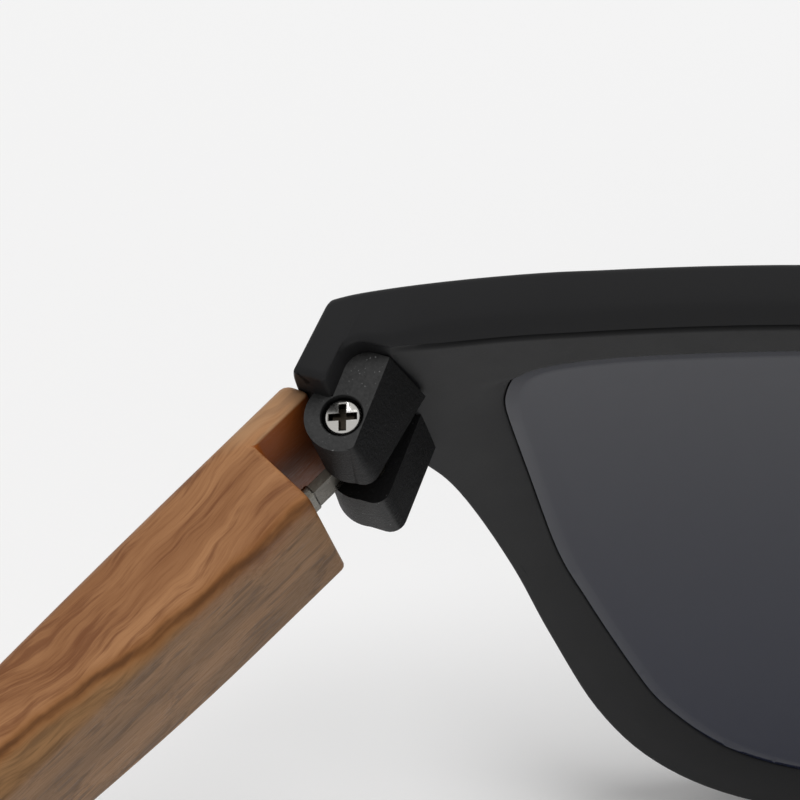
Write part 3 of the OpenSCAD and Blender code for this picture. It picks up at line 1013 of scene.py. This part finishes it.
    def _opening_rings(self, bm: Mesh, side: Side) -> tuple[list[Vert], list[Vert]]:
        """The rings round one lens opening with its groove.

        Args:
            bm: the mesh to add to.
            side: whose opening it is.
        Returns:
            The ring on the rear face and the ring on the front face.
        """
        loop = self.lens_line(side)
        normals = outward_normals(loop)
        tops = [ease((n.y - self.upper_from) / self.upper_over) for n in normals]
        groove = ((0, self.groove_rear), (self.groove, self.groove_rear),
                  (self.groove, self.groove_front), (0, self.groove_front))
        sections = list(zip(self.rear_lip, self.upper_lip))
        sections += [(point,) * 2 for point in (*groove, *self.face_lip)]
        rows = []
        for low, high in sections:
            row = []
            for p, n, top in zip(loop, normals, tops):
                out, depth = (mix(a, b, top) for a, b in zip(low, high))
                row.append((*(p + n * out), depth))
            rows.append(row)
        return loft(bm, rows)


@dataclass
class SidePart:
    """Pieces on one side of the object, whose names start with the word for that side."""

    bench: Bench
    side: Side

    def start(self, name: str, node: str, slot: str, body: str = "") -> Piece:
        """Starts a piece.

        Args:
            name: the piece's name, without the side.
            node: the node it replaces, without the side.
            slot: the record's material slot.
            body: the body of this side that it rides on, or nothing for the front.
        Returns:
            The empty piece.
        """
        label = self.side.label
        carrier = f"{label}_{body}" if body else "front"
        return Piece(f"{label}_{name}", carrier, f"{label}_{node}", slot)


@dataclass
class Lens(SidePart):
    """One curved lens, bevelled at its rear edge and held by a flange in the front's groove."""

    front: Front
    cell: float = 2.5
    grid: Place = (65, -35, 15)
    # Section as (distance out from the opening, depth from the front's rear face)
    section: Profile = (
        (-2.0, 0.3), (-1.2, 0.3), (-0.92, 0.3), (-0.86, 0.31), (-0.16, 0.47), (-0.1, 0.5), (-0.08, 0.58),
        (-0.08, 1.2), (0.84, 1.2), (0.9, 1.26), (0.9, 3.14), (0.84, 3.2), (-0.6, 3.2))

    def build(self, material: Material) -> None:
        """Makes the lens.

        Args:
            material: its finish.
        """
        piece = self.start("lens_polished", "lens", "tinted_lens")
        bm = piece.bm
        loop = self.front.lens_line(self.side)
        normals = outward_normals(loop)
        rows = [[(*(p + n * out), depth) for p, n in zip(loop, normals)] for out, depth in self.section]
        rear, face = loft(bm, rows)
        fill_between(bm, [rear], -1)
        fill_between(bm, [face], 1)
        cut_grid(bm, self.cell, *self.grid)
        for vert in bm.verts:
            vert.co = self._bend(vert.co)
        piece.finish(self.bench.matrix, material)

    def _bend(self, flat: Vector) -> Vector:
        """Carries a point of the flat lens to its sphere."""
        x, v, d = flat
        reach = math.sqrt((self.front.base_r + d) ** 2 - x * x - v * v)
        return self.front.placed(x, v, self.front.base_r - reach)


@dataclass
class HingeBlock(SidePart):
    """The grained hinge block: two knuckles over a slot, with a recess for the screw head."""

    inner_x: float = -2.05
    seat_y: float = -4.43
    room_x: float = 0.98
    room_r: float = 1.5
    room_steps: int = 8
    shelf_y: float = -0.88
    knuckle_r: float = 2.35
    knuckle_steps: int = 24
    rear_y: float = 2.3
    draft: float = 0.09
    root_flare: float = 0.9
    rear_draft: float = 0.05
    foot_corner: float = 1.0
    top_corner: float = 0.4
    corner_steps: int = 6
    top: float = 6.6
    slot: float = 1.3
    low: float = -5.5
    edge: float = 0.22
    edge_turn: float = 40
    recess_r: float = 1.3
    # Section of the screw's recess as (distance out from its wall, depth)
    recess: Profile = ((0.1, 0), (0.03, 0.03), (0, 0.1), (0, 0.75))
    # Painted light as (turn to the rear or upward where it starts, over how much it grows)
    rear_wear: tuple[float, float] = (0.5, 0.3)
    top_wear: tuple[float, float] = (0.75, 0.2)
    top_zone: float = 0.2
    upper_share: float = 0.3
    lower_share: float = 1.5

    def plan(self, z: float, corner: float, flare: float) -> list[Place]:
        """The outline of a knuckle at a height, counterclockwise, with its rear inner corner rounded.

        Args:
            z: the height; the block is wider lower down.
            corner: radius of the rear inner corner.
            flare: how much wider the root is.
        Returns:
            The places, in order.
        """
        inner_x = self.inner_x + self.draft * z
        root_x = inner_x - flare
        radius = self.knuckle_r + self.rear_draft * max(0.0, -z)
        rear_y = self.rear_y - self.rear_draft * z
        shelf = math.degrees(math.asin(self.shelf_y / radius))
        meet = 180 - math.degrees(math.asin(rear_y / radius))
        middle = (self.room_x - self.room_r, self.seat_y + self.room_r)
        front = arc(middle, self.room_r, -90, 0, self.room_steps)
        knuckle = arc((0, 0), radius, shelf, meet, self.knuckle_steps)
        inner = arc((inner_x + corner, rear_y - corner), corner, 90, 180, self.corner_steps)
        outline = [(root_x, self.seat_y), *front, (self.room_x, self.shelf_y), *knuckle, *inner]
        return [(x, y, z) for x, y in outline]

    def build(self, material: Material) -> None:
        """Makes both knuckles.

        Args:
            material: their finish.
        """
        piece = self.start("hinge_knuckles", "hinge_block", "hinge_plastic")
        bm = piece.bm
        lower = (self.low, -self.slot, self.foot_corner, 0.0)
        upper = (self.slot, self.top, self.top_corner, self.root_flare)
        for low, high, corner, flare in (lower, upper):
            foot = start_ring(bm, self.plan(low, self.foot_corner, flare))
            bm.faces.new(foot)
            bm.faces.new(extrude_ring(bm, foot, self.plan(high, corner, 0.0)))
        bmesh.ops.recalc_face_normals(bm, faces=bm.faces)
        round_edges(bm, sharp_edges(bm, self.edge_turn), self.edge)
        self._recess(bm)
        bm.normal_update()
        # Paints the rear faces and the top lighter, as lit
        paint(bm, "painted_light", self._wear)
        piece.finish(self.bench.side(self.side), material, weighted=True)

    def _wear(self, vert: Vert) -> float:
        """How much painted light the block gets at a vertex: its rear faces and its top are painted
        lighter, as lit.
        """
        start, over = self.rear_wear
        share = self.upper_share if vert.co.z > 0 else self.lower_share
        rear = ease((vert.normal.y - start) / over) * share
        if vert.co.z <= self.top - self.top_zone:
            return rear
        start, over = self.top_wear
        return max(rear, ease((vert.normal.z - start) / over))

    def _recess(self, bm: Mesh) -> None:
        """Sinks the recess for the screw head into the top."""
        level = [f for f in bm.faces if f.normal.z > 1 - FLAT]
        tops = [f for f in level if f.calc_center_median().z > self.top - NEAR]
        face = max(tops, key=lambda f: f.calc_area())
        border = list(face.edges)
        bmesh.ops.delete(bm, geom=[face], context="FACES_ONLY")
        rows = []
        for out, depth in self.recess:
            rows.append([(x, y, self.top - depth) for x, y in circle(self.recess_r + out)])
        ring = start_ring(bm, rows[0])
        edges = border + ring_edges(bm, ring)
        bmesh.ops.triangle_fill(bm, use_beauty=True, edges=edges, normal=(0, 0, 1))
        for row in rows[1:]:
            ring = extrude_ring(bm, ring, row)
        bm.faces.new(ring)


@dataclass
class PivotScrew(SidePart):
    """The nickel hinge screw, with a domed head and a cross recess."""

    seat_z: float = 5.85
    head_r: float = 1.2
    shank_r: float = 0.72
    chamfer: float = 0.15
    end_z: float = -5.2
    arm: float = 0.92
    arm_half: float = 0.24
    turn: float = math.radians(21)
    sharp: float = 35
    # Section of the head as (distance in from its rim, height over its seat)
    dome: Profile = ((0, 0), (0, 0.3), (0.02, 0.38), (0.07, 0.46), (0.14, 0.52), (0.19, 0.55))
    # Section of the cross as (share of its size, depth)
    recess: Profile = ((1.0, 0), (0.94, 0.06), (0.9, 0.14), (0.72, 0.42))
    # how far below the top the cross is painted dark as shade
    grime_depth: float = 0.1

    @property
    def top(self) -> float:
        """Height of the head's flat top."""
        return self.seat_z + self.dome[-1][1]

    def cross(self, size: float) -> list[tuple[float, float]]:
        """The outline of the cross recess, scaled."""
        a, h = self.arm * size, self.arm_half * size
        quarter = [(a, -h), (a, h), (h, h)]
        points = []
        for k in range(4):
            angle = k * math.pi / 2 + self.turn
            c, s = math.cos(angle), math.sin(angle)
            points += [(x * c - y * s, x * s + y * c) for x, y in quarter]
        return points

    def build(self, material: Material) -> None:
        """Makes the screw.

        Args:
            material: its finish.
        """
        piece = self.start("screw_nickel", "pivot_screw", "screw_steel")
        bm = piece.bm
        section = [(self.shank_r - self.chamfer, self.end_z), (self.shank_r, self.end_z + self.chamfer),
                   (self.shank_r, self.seat_z)]
        section += [(self.head_r - inset, self.seat_z + up) for inset, up in self.dome]
        foot, rim = loft(bm, [[(x, y, z) for x, y in circle(r)] for r, z in section])
        bm.faces.new(foot)
        rows = [[(x, y, self.top - depth) for x, y in self.cross(size)] for size, depth in self.recess]
        mouth, floor = loft(bm, rows)
        fill_between(bm, [rim, mouth], 1)
        bm.faces.new(floor)
        # Painted shade in the depth of the cross recess
        paint(bm, "grime", self._grime)
        piece.finish(self.bench.side(self.side), material, self.sharp, weighted=True)

    def _grime(self, vert: Vert) -> float:
        """1 in the depth of the cross, which is painted dark as shade."""
        deep = self.seat_z < vert.co.z < self.top - self.grime_depth
        return 1.0 if deep and vert.co.xy.length < self.arm else 0.0


@dataclass
class SpringSlider(SidePart):
    """The sliding eye and its rod, with the metal housing that guides it in the temple."""

    eye_r: float = 1.4
    eye_steps: int = 40
    bore_r: float = 0.76
    bore_steps: int = 32
    neck_out: float = 0.6
    neck_in: float = -0.05
    neck_from: float = 0.9
    neck_end: float = 7.0
    # how much painted shade the whole slider gets
    neck_grime: float = 0.45
    half_h: float = 1.15
    rod_r: float = 0.55
    rod_end: float = 14.6
    rod_steps: int = 24
    edge: float = 0.12
    edge_turn: float = 60
    end_y: float = 3.4
    house_half: float = 1.5
    house_half_h: float = 1.7
    house_l: float = 12.6
    lip: float = 0.2
    lip_edge: float = 0.1
    mouth: float = 0.35
    mouth_l: float = 3.4
    # Section of the rolled collar as (distance out from the neck, distance along the temple)
    collar: Profile = (
        (0.12, 0.3), (0.12, -0.98), (0.11, -1.06), (0.08, -1.12), (0.05, -1.12), (0.03, -1.06),
        (0.02, -0.98), (0.02, 0.3))
    collar_corner: float = 0.1
    collar_steps: int = 4

    def build(self, material: Material) -> None:
        """Makes the slider and its housing.

        Args:
            material: their finish.
        """
        self._slider(material)
        self._housing(material)

    def _slider(self, material: Material) -> None:
        """The eye, neck and rod."""
        piece = self.start("slider_eye", "slider", "slider_steel", "slide")
        bm = piece.bm
        start, end = (math.degrees(math.acos(x / self.eye_r)) for x in (self.neck_in, self.neck_out))
        eye = arc((0, 0), self.eye_r, start, 360 + end, self.eye_steps)
        plan = [*eye, (self.neck_out, self.neck_end), (self.neck_in, self.neck_end)]
        bore = circle(self.bore_r, self.bore_steps)
        rings = [start_ring(bm, [(x, y, -self.half_h) for x, y in loop]) for loop in (plan, bore)]
        fill_between(bm, rings, -1)
        extrude_faces(bm, bm.faces[:], (0, 0, 2 * self.half_h))
        bmesh.ops.dissolve_limit(bm, angle_limit=FLAT, verts=bm.verts, edges=bm.edges)
        bmesh.ops.recalc_face_normals(bm, faces=bm.faces)
        neck = sharp_edges(bm, self.edge_turn, lambda e: e.verts[0].co.y > self.neck_from)
        round_edges(bm, neck, self.edge, 2)
        middle = Matrix.Translation((0, (self.neck_end + self.rod_end) / 2, 0))
        bmesh.ops.create_cone(bm, cap_ends=True, segments=self.rod_steps, radius1=self.rod_r,
                              radius2=self.rod_r, depth=self.rod_end - self.neck_end,
                              matrix=middle @ Matrix.Rotation(math.pi / 2, 4, "X"))
        # The whole slider is painted darker, as shade and dark reflections under the hinge block
        paint(bm, "grime", lambda vert: self.neck_grime)
        piece.finish(self.bench.slider(self.side), material, weighted=True)

    def _housing(self, material: Material) -> None:
        """The box in the temple, with a lip that stands a little proud of the wood."""
        piece = self.start("housing_box", "spring_housing", "slider_steel", "arm")
        bm = piece.bm
        length = self.house_l + self.lip
        size = Matrix.Diagonal((2 * self.house_half, length, 2 * self.house_half_h, 1))
        middle = Matrix.Translation((0, self.end_y - self.lip + length / 2, 0))
        bmesh.ops.create_cube(bm, size=1, matrix=middle @ size)
        bm.normal_update()
        face = min(bm.faces, key=lambda f: f.normal.y)
        bmesh.ops.inset_individual(bm, faces=[face], thickness=self.mouth)
        extrude_faces(bm, [face], (0, self.mouth_l, 0))
        bmesh.ops.delete(bm, geom=[face], context="FACES_ONLY")
        bmesh.ops.recalc_face_normals(bm, faces=bm.faces)
        round_edges(bm, sharp_edges(bm, self.edge_turn), self.lip_edge, 2)
        self._collar(bm)
        piece.finish(self.bench.arm(self.side), material, weighted=True)

    def _collar(self, bm: Mesh) -> None:
        """The rolled edge of the housing's mouth, close round the neck."""
        mid = (self.neck_out + self.neck_in) / 2
        half_w = (self.neck_out - self.neck_in) / 2
        rows = []
        for out, along in self.collar:
            r = self.collar_corner + out
            section = soft_box(half_w + out, self.half_h + out, r, r, self.collar_steps)
            rows.append([(mid + x, self.end_y + along, z) for x, z in section])
        first, last = loft(bm, rows)
        bmesh.ops.bridge_loops(bm, edges=ring_edges(bm, first) + ring_edges(bm, last))


@dataclass
class Temple(SidePart):
    """One wooden temple: a tapered bar with a thin tongue beside the hinge and a bend for the ear."""

    length: float = 146.0
    stations: int = 70
    end_y: float = 3.4
    tongue_l: float = 4.02
    tongue_mitre: float = 0.4
    tongue_t: float = 1.73
    out_x: float = 4.38
    root_t: float = 6.98
    root_h: float = 12.1
    slim_h: float = 8.6
    slim_from: float = 12.0
    slim_t: float = 4.4
    thin_from: float = 6.0
    thin_past: float = 4.0
    paddle_h: float = 1.6
    paddle_t: float = 0.6
    paddle_past: float = 8.0
    paddle_end_h: float = 10.0
    paddle_end_t: float = 6.0
    sweep_in: float = 0.4
    sweep_from: float = 20.0
    mid_up: float = 0.55
    mid_rise: float = 0.36
    bend_at: float = 92.0
    bend_angle: float = math.radians(36)
    bend_r: float = 40.0
    tip_round: float = 5.0
    tip_steps: int = 10
    tip_flat: float = 0.35
    tip_least: float = 0.004
    outer_r: float = 0.9
    inner_r: float = 0.95
    corner_most: float = 0.45
    corner_steps: int = 8
    edge: float = 0.4
    edge_turn: float = 50
    sharp: float = 45
    grain_shift: float = 260.0
    # painted shade on the step beside the tongue
    nook_shade: float = 0.95
    # painted light on top of the tongue
    lit_top: float = 0.45
    seam: float = 0.05

    def _share(self, s: float, start: float, end: float) -> float:
        """Eased share of the way between two distances along the temple."""
        return ease((s - start) / (end - start))

    def _height(self, s: float) -> float:
        """Height of the bar at a distance along it."""
        slimmed = self._share(s, self.slim_from, self.bend_at / 2)
        wide = self._share(s, self.bend_at + self.paddle_past, self.length - self.paddle_end_h)
        return mix(self.root_h, self.slim_h, slimmed) + self.paddle_h * wide

    def _thickness(self, s: float) -> float:
        """Thickness of the bar at a distance along it."""
        thinned = self._share(s, self.thin_from, self.bend_at + self.thin_past)
        flat = self._share(s, self.bend_at + self.paddle_past, self.length - self.paddle_end_t)
        return mix(self.root_t, self.slim_t, thinned) - self.paddle_t * flat

    def _spine(self, s: float) -> Place:
        """Distance back, distance up and turn of the bar's middle line."""
        turn = min(self.bend_angle, max(0.0, (s - self.bend_at) / self.bend_r))
        past = max(0.0, s - self.bend_at - self.bend_r * self.bend_angle)
        y = min(s, self.bend_at) + self.bend_r * math.sin(turn) + past * math.cos(self.bend_angle)
        z = -self.bend_r * (1 - math.cos(turn)) - past * math.sin(self.bend_angle)
        return y, z, turn

    def _ring(self, s: float) -> list[Place]:
        """The section at a distance along the bar, with soft inner edges."""
        left = max(0.0, (s - self.length + self.tip_round) / self.tip_round)
        close = math.sqrt(max(self.tip_least, 1 - left * left))
        w = self._thickness(s) * mix(self.tip_flat, 1.0, close)
        h = self._height(s) * close
        y, z, turn = self._spine(s)
        sweep = self.sweep_in * self._share(s, self.sweep_from, self.bend_at + self.paddle_past)
        mid_x = self.out_x - self.root_t / 2 - sweep
        mid_z = self.mid_up + (self.root_h - self._height(s)) * self.mid_rise + z
        most = self.corner_most * min(w, h)
        outer, inner = min(self.outer_r, most), min(self.inner_r, most)
        section = soft_box(w / 2, h / 2, outer, inner, self.corner_steps)
        sin, cos = math.sin(turn), math.cos(turn)
        return [(mid_x + px, y + pz * sin, mid_z + pz * cos) for px, pz in section]

    def build(self, material: Material) -> None:
        """Makes the temple.

        Args:
            material: its finish.
        """
        piece = self.start("temple_wood", "temple", "temple_wood", "arm")
        bm = piece.bm
        body_end = self.length - self.tip_round
        along = spaced(self.end_y, body_end, (body_end - self.end_y) / self.stations)
        for k in range(1, self.tip_steps + 1):
            along.append(body_end + self.tip_round * math.sin(math.pi / 2 * k / self.tip_steps))
        first, last = loft(bm, [self._ring(s) for s in along])
        bm.faces.new(last)
        self._hinge_end(bm, bm.faces.new(first))
        grain = bm.verts.layers.float_vector.new("grain")
        shift = 0.0 if self.side is Side.LEFT else self.grain_shift
        for vert in bm.verts:
            vert[grain] = (vert.co.x, vert.co.y + shift, vert.co.z)
        # Paints the step beside the tongue as shade
        paint(bm, "nook_shade", self._stained)
        # Paints the top of the tongue paler, as lit
        paint(bm, "lit_top", self._rubbed)
        piece.finish(self.bench.arm(self.side), material, self.sharp)

    def _at_end(self, vert: Vert) -> bool:
        """Whether a vertex lies on the hinge end of the temple."""
        return vert.co.y < self.end_y + NEAR

    def _on_tongue(self, vert: Vert) -> bool:
        """Whether a vertex is as far out as the tongue."""
        return vert.co.x >= self.out_x - self.tongue_t + self.seam

    def _stained(self, vert: Vert) -> float:
        """How much painted shade the wood gets: on the step beside the tongue."""
        return self.nook_shade if self._at_end(vert) and not self._on_tongue(vert) else 0.0

    def _rubbed(self, vert: Vert) -> float:
        """How much paler the top of the tongue is painted, as lit."""
        crown = self.mid_up + self.root_h / 2 - self.outer_r
        on_top = self._on_tongue(vert) and vert.co.z > crown
        return self.lit_top if self._at_end(vert) and on_top else 0.0

    def _hinge_end(self, bm: Mesh, end: bmesh.types.BMFace) -> None:
        """Splits the end face, draws the tongue out of its outer part and rounds the edges."""
        tongue_x = self.out_x - self.tongue_t
        geom = [end, *end.edges, *end.verts]
        bmesh.ops.bisect_plane(bm, geom=geom, dist=MERGE, plane_co=(tongue_x, 0, 0), plane_no=(1, 0, 0))
        bm.normal_update()
        faces = [f for f in bm.faces if all(self._at_end(v) for v in f.verts)]
        outer = max(faces, key=lambda f: f.calc_center_median().x)
        for vert in extrude_faces(bm, [outer], (0, -self.tongue_l, 0)):
            vert.co.y -= self.tongue_mitre * (self.out_x - vert.co.x)
        bmesh.ops.delete(bm, geom=[outer], context="FACES_ONLY")
        bmesh.ops.recalc_face_normals(bm, faces=bm.faces)
        edges = sharp_edges(bm, self.edge_turn, lambda e: all(self._at_end(v) for v in e.verts))
        round_edges(bm, edges, self.edge)


@dataclass
class Studio:
    """The pale table, the soft lights and the camera."""

    bench: Bench
    eye: Place = (-30.0, 96.4, 306.2)
    aim: Place = (0.2913, -0.2985, -0.9089)
    up: Place = (0.2702, -0.8857, 0.3775)
    focal: float = 245.0
    sensor: float = 36.0
    nearest: float = 0.01
    floor_half: float = 1.5
    floor_colour: float = 0.92
    floor_cloud: float = 0.02
    floor_rough: float = 0.8
    floor_glow: float = 0.05
    sky: float = 0.34
    mirrored: float = 0.64
    key_place: Place = (-0.47, -0.45, 1.8)
    key_size: float = 1.0
    key_power: float = 23.5
    glint_place: Place = (0.65, -0.69, 1.8)
    glint_size: float = 0.32
    glint_power: float = 1.4

    def build(self) -> None:
        """Makes the table, the sky, the lights and the camera."""
        self._floor()
        self._sky()
        self._light("key", self.key_place, self.key_size, self.key_power, False)
        self._light("glint", self.glint_place, self.glint_size, self.glint_power, True)
        self._camera()

    def _floor(self) -> None:
        """A wide pale table under the object."""
        mesh = bpy.data.meshes.new("table")
        bm = bmesh.new()
        bmesh.ops.create_grid(bm, x_segments=4, y_segments=4, size=self.floor_half)
        bm.to_mesh(mesh)
        bm.free()
        material, tree, shader = material_tree("table_white")
        cloud = tree.noise(tree.spot(), 3.0, 2.0)
        pale = tree.blend(cloud, grey(self.floor_colour), grey(self.floor_colour + self.floor_cloud))
        tree.feed(shader.inputs["Base Color"], pale)
        shader.inputs["Roughness"].default_value = self.floor_rough
        shader.inputs["Specular IOR Level"].default_value = 0.0
        seen = self._seen(tree, "Is Glossy Ray")
        glow = tree.add("ShaderNodeEmission", {"Strength": tree.math("MULTIPLY", seen, self.floor_glow)})
        both = tree.add("ShaderNodeAddShader", {0: shader.outputs[0], 1: glow.outputs[0]})
        out = material.node_tree.nodes["Material Output"]
        tree.feed(out.inputs["Surface"], both.outputs[0])
        mesh.materials.append(material)
        table = bpy.data.objects.new("table", mesh)
        bpy.context.scene.collection.objects.link(table)

    @staticmethod
    def _seen(tree: Tree, *others: str) -> Socket:
        """1 where a ray comes straight from the camera or through glass, or is one of the other kinds."""
        paths = tree.add("ShaderNodeLightPath").outputs
        seen = paths["Is Camera Ray"]
        for kind in ("Is Transmission Ray", *others):
            seen = tree.math("ADD", seen, paths[kind], clamp=True)
        return seen

    def _sky(self) -> None:
        """A plain white surround: white where it is seen, softer where it lights."""
        world = bpy.data.worlds.new("studio")
        world.use_nodes = True
        tree = Tree(world.node_tree)
        seen = self._seen(tree)
        glossy = tree.add("ShaderNodeLightPath").outputs["Is Glossy Ray"]
        strength = tree.math("MULTIPLY_ADD", seen, 1.0 - self.sky, self.sky)
        strength = tree.math("MULTIPLY_ADD", glossy, self.mirrored - self.sky, strength)
        back = world.node_tree.nodes["Background"]
        back.inputs["Color"].default_value = grey(1.0)
        tree.feed(back.inputs["Strength"], strength)
        bpy.context.scene.world = world

    def _light(self, name: str, place: Place, size: float, power: float, mirrored: bool) -> None:
        """A square soft light that looks at the hinge.

        Args:
            name: the lamp's name.
            place: where it hangs, in metres.
            size: its side, in metres.
            power: its power in watts.
            mirrored: whether glossy surfaces show it.
        """
        lamp = bpy.data.lights.new(name, "AREA")
        lamp.size = size
        lamp.energy = power
        obj = bpy.data.objects.new(name, lamp)
        target = self.bench.side(Side.LEFT).translation
        obj.location = place
        obj.visible_glossy = mirrored
        obj.rotation_euler = (target - Vector(place)).to_track_quat("-Z", "Y").to_euler()
        bpy.context.scene.collection.objects.link(obj)

    def _camera(self) -> None:
        """A long lens above and behind the left hinge."""
        data = bpy.data.cameras.new("camera")
        data.lens = self.focal
        data.sensor_width = self.sensor
        data.clip_start = self.nearest
        turn = self.bench.matrix.to_quaternion().to_matrix()
        back = -Vector(self.aim).normalized()
        right = Vector(self.up).cross(back).normalized()
        axes = Matrix((right, back.cross(right), back)).transposed()
        place = Matrix.Translation(self.bench.matrix @ Vector(self.eye))
        camera = bpy.data.objects.new("camera", data)
        camera.matrix_world = place @ (turn @ axes).to_4x4()
        bpy.context.scene.collection.objects.link(camera)
        bpy.context.scene.camera = camera


def main() -> None:
    """Builds the pieces in order, then the studio, and reports each."""
    logging.basicConfig(level=logging.INFO, format="%(message)s")
    bpy.context.scene.view_settings.view_transform = "Standard"
    bench = Bench(frame["joints"])
    finishes = Finishes()
    finishes.build()
    made = finishes.made
    front = Front(bench)
    front.build(made["black_plastic"])
    for side in Side:
        Lens(bench, side, front).build(made["tinted_lens"])
        HingeBlock(bench, side).build(made["hinge_plastic"])
        PivotScrew(bench, side).build(made["screw_steel"])
        SpringSlider(bench, side).build(made["slider_steel"])
        Temple(bench, side).build(made["temple_wood"])
        finishes.dress(frame["nodes"], {f"{side.label}_{node}": slot for node, slot in HIDDEN.items()})
    Studio(bench).build()


if __name__ == "__main__":
    main()
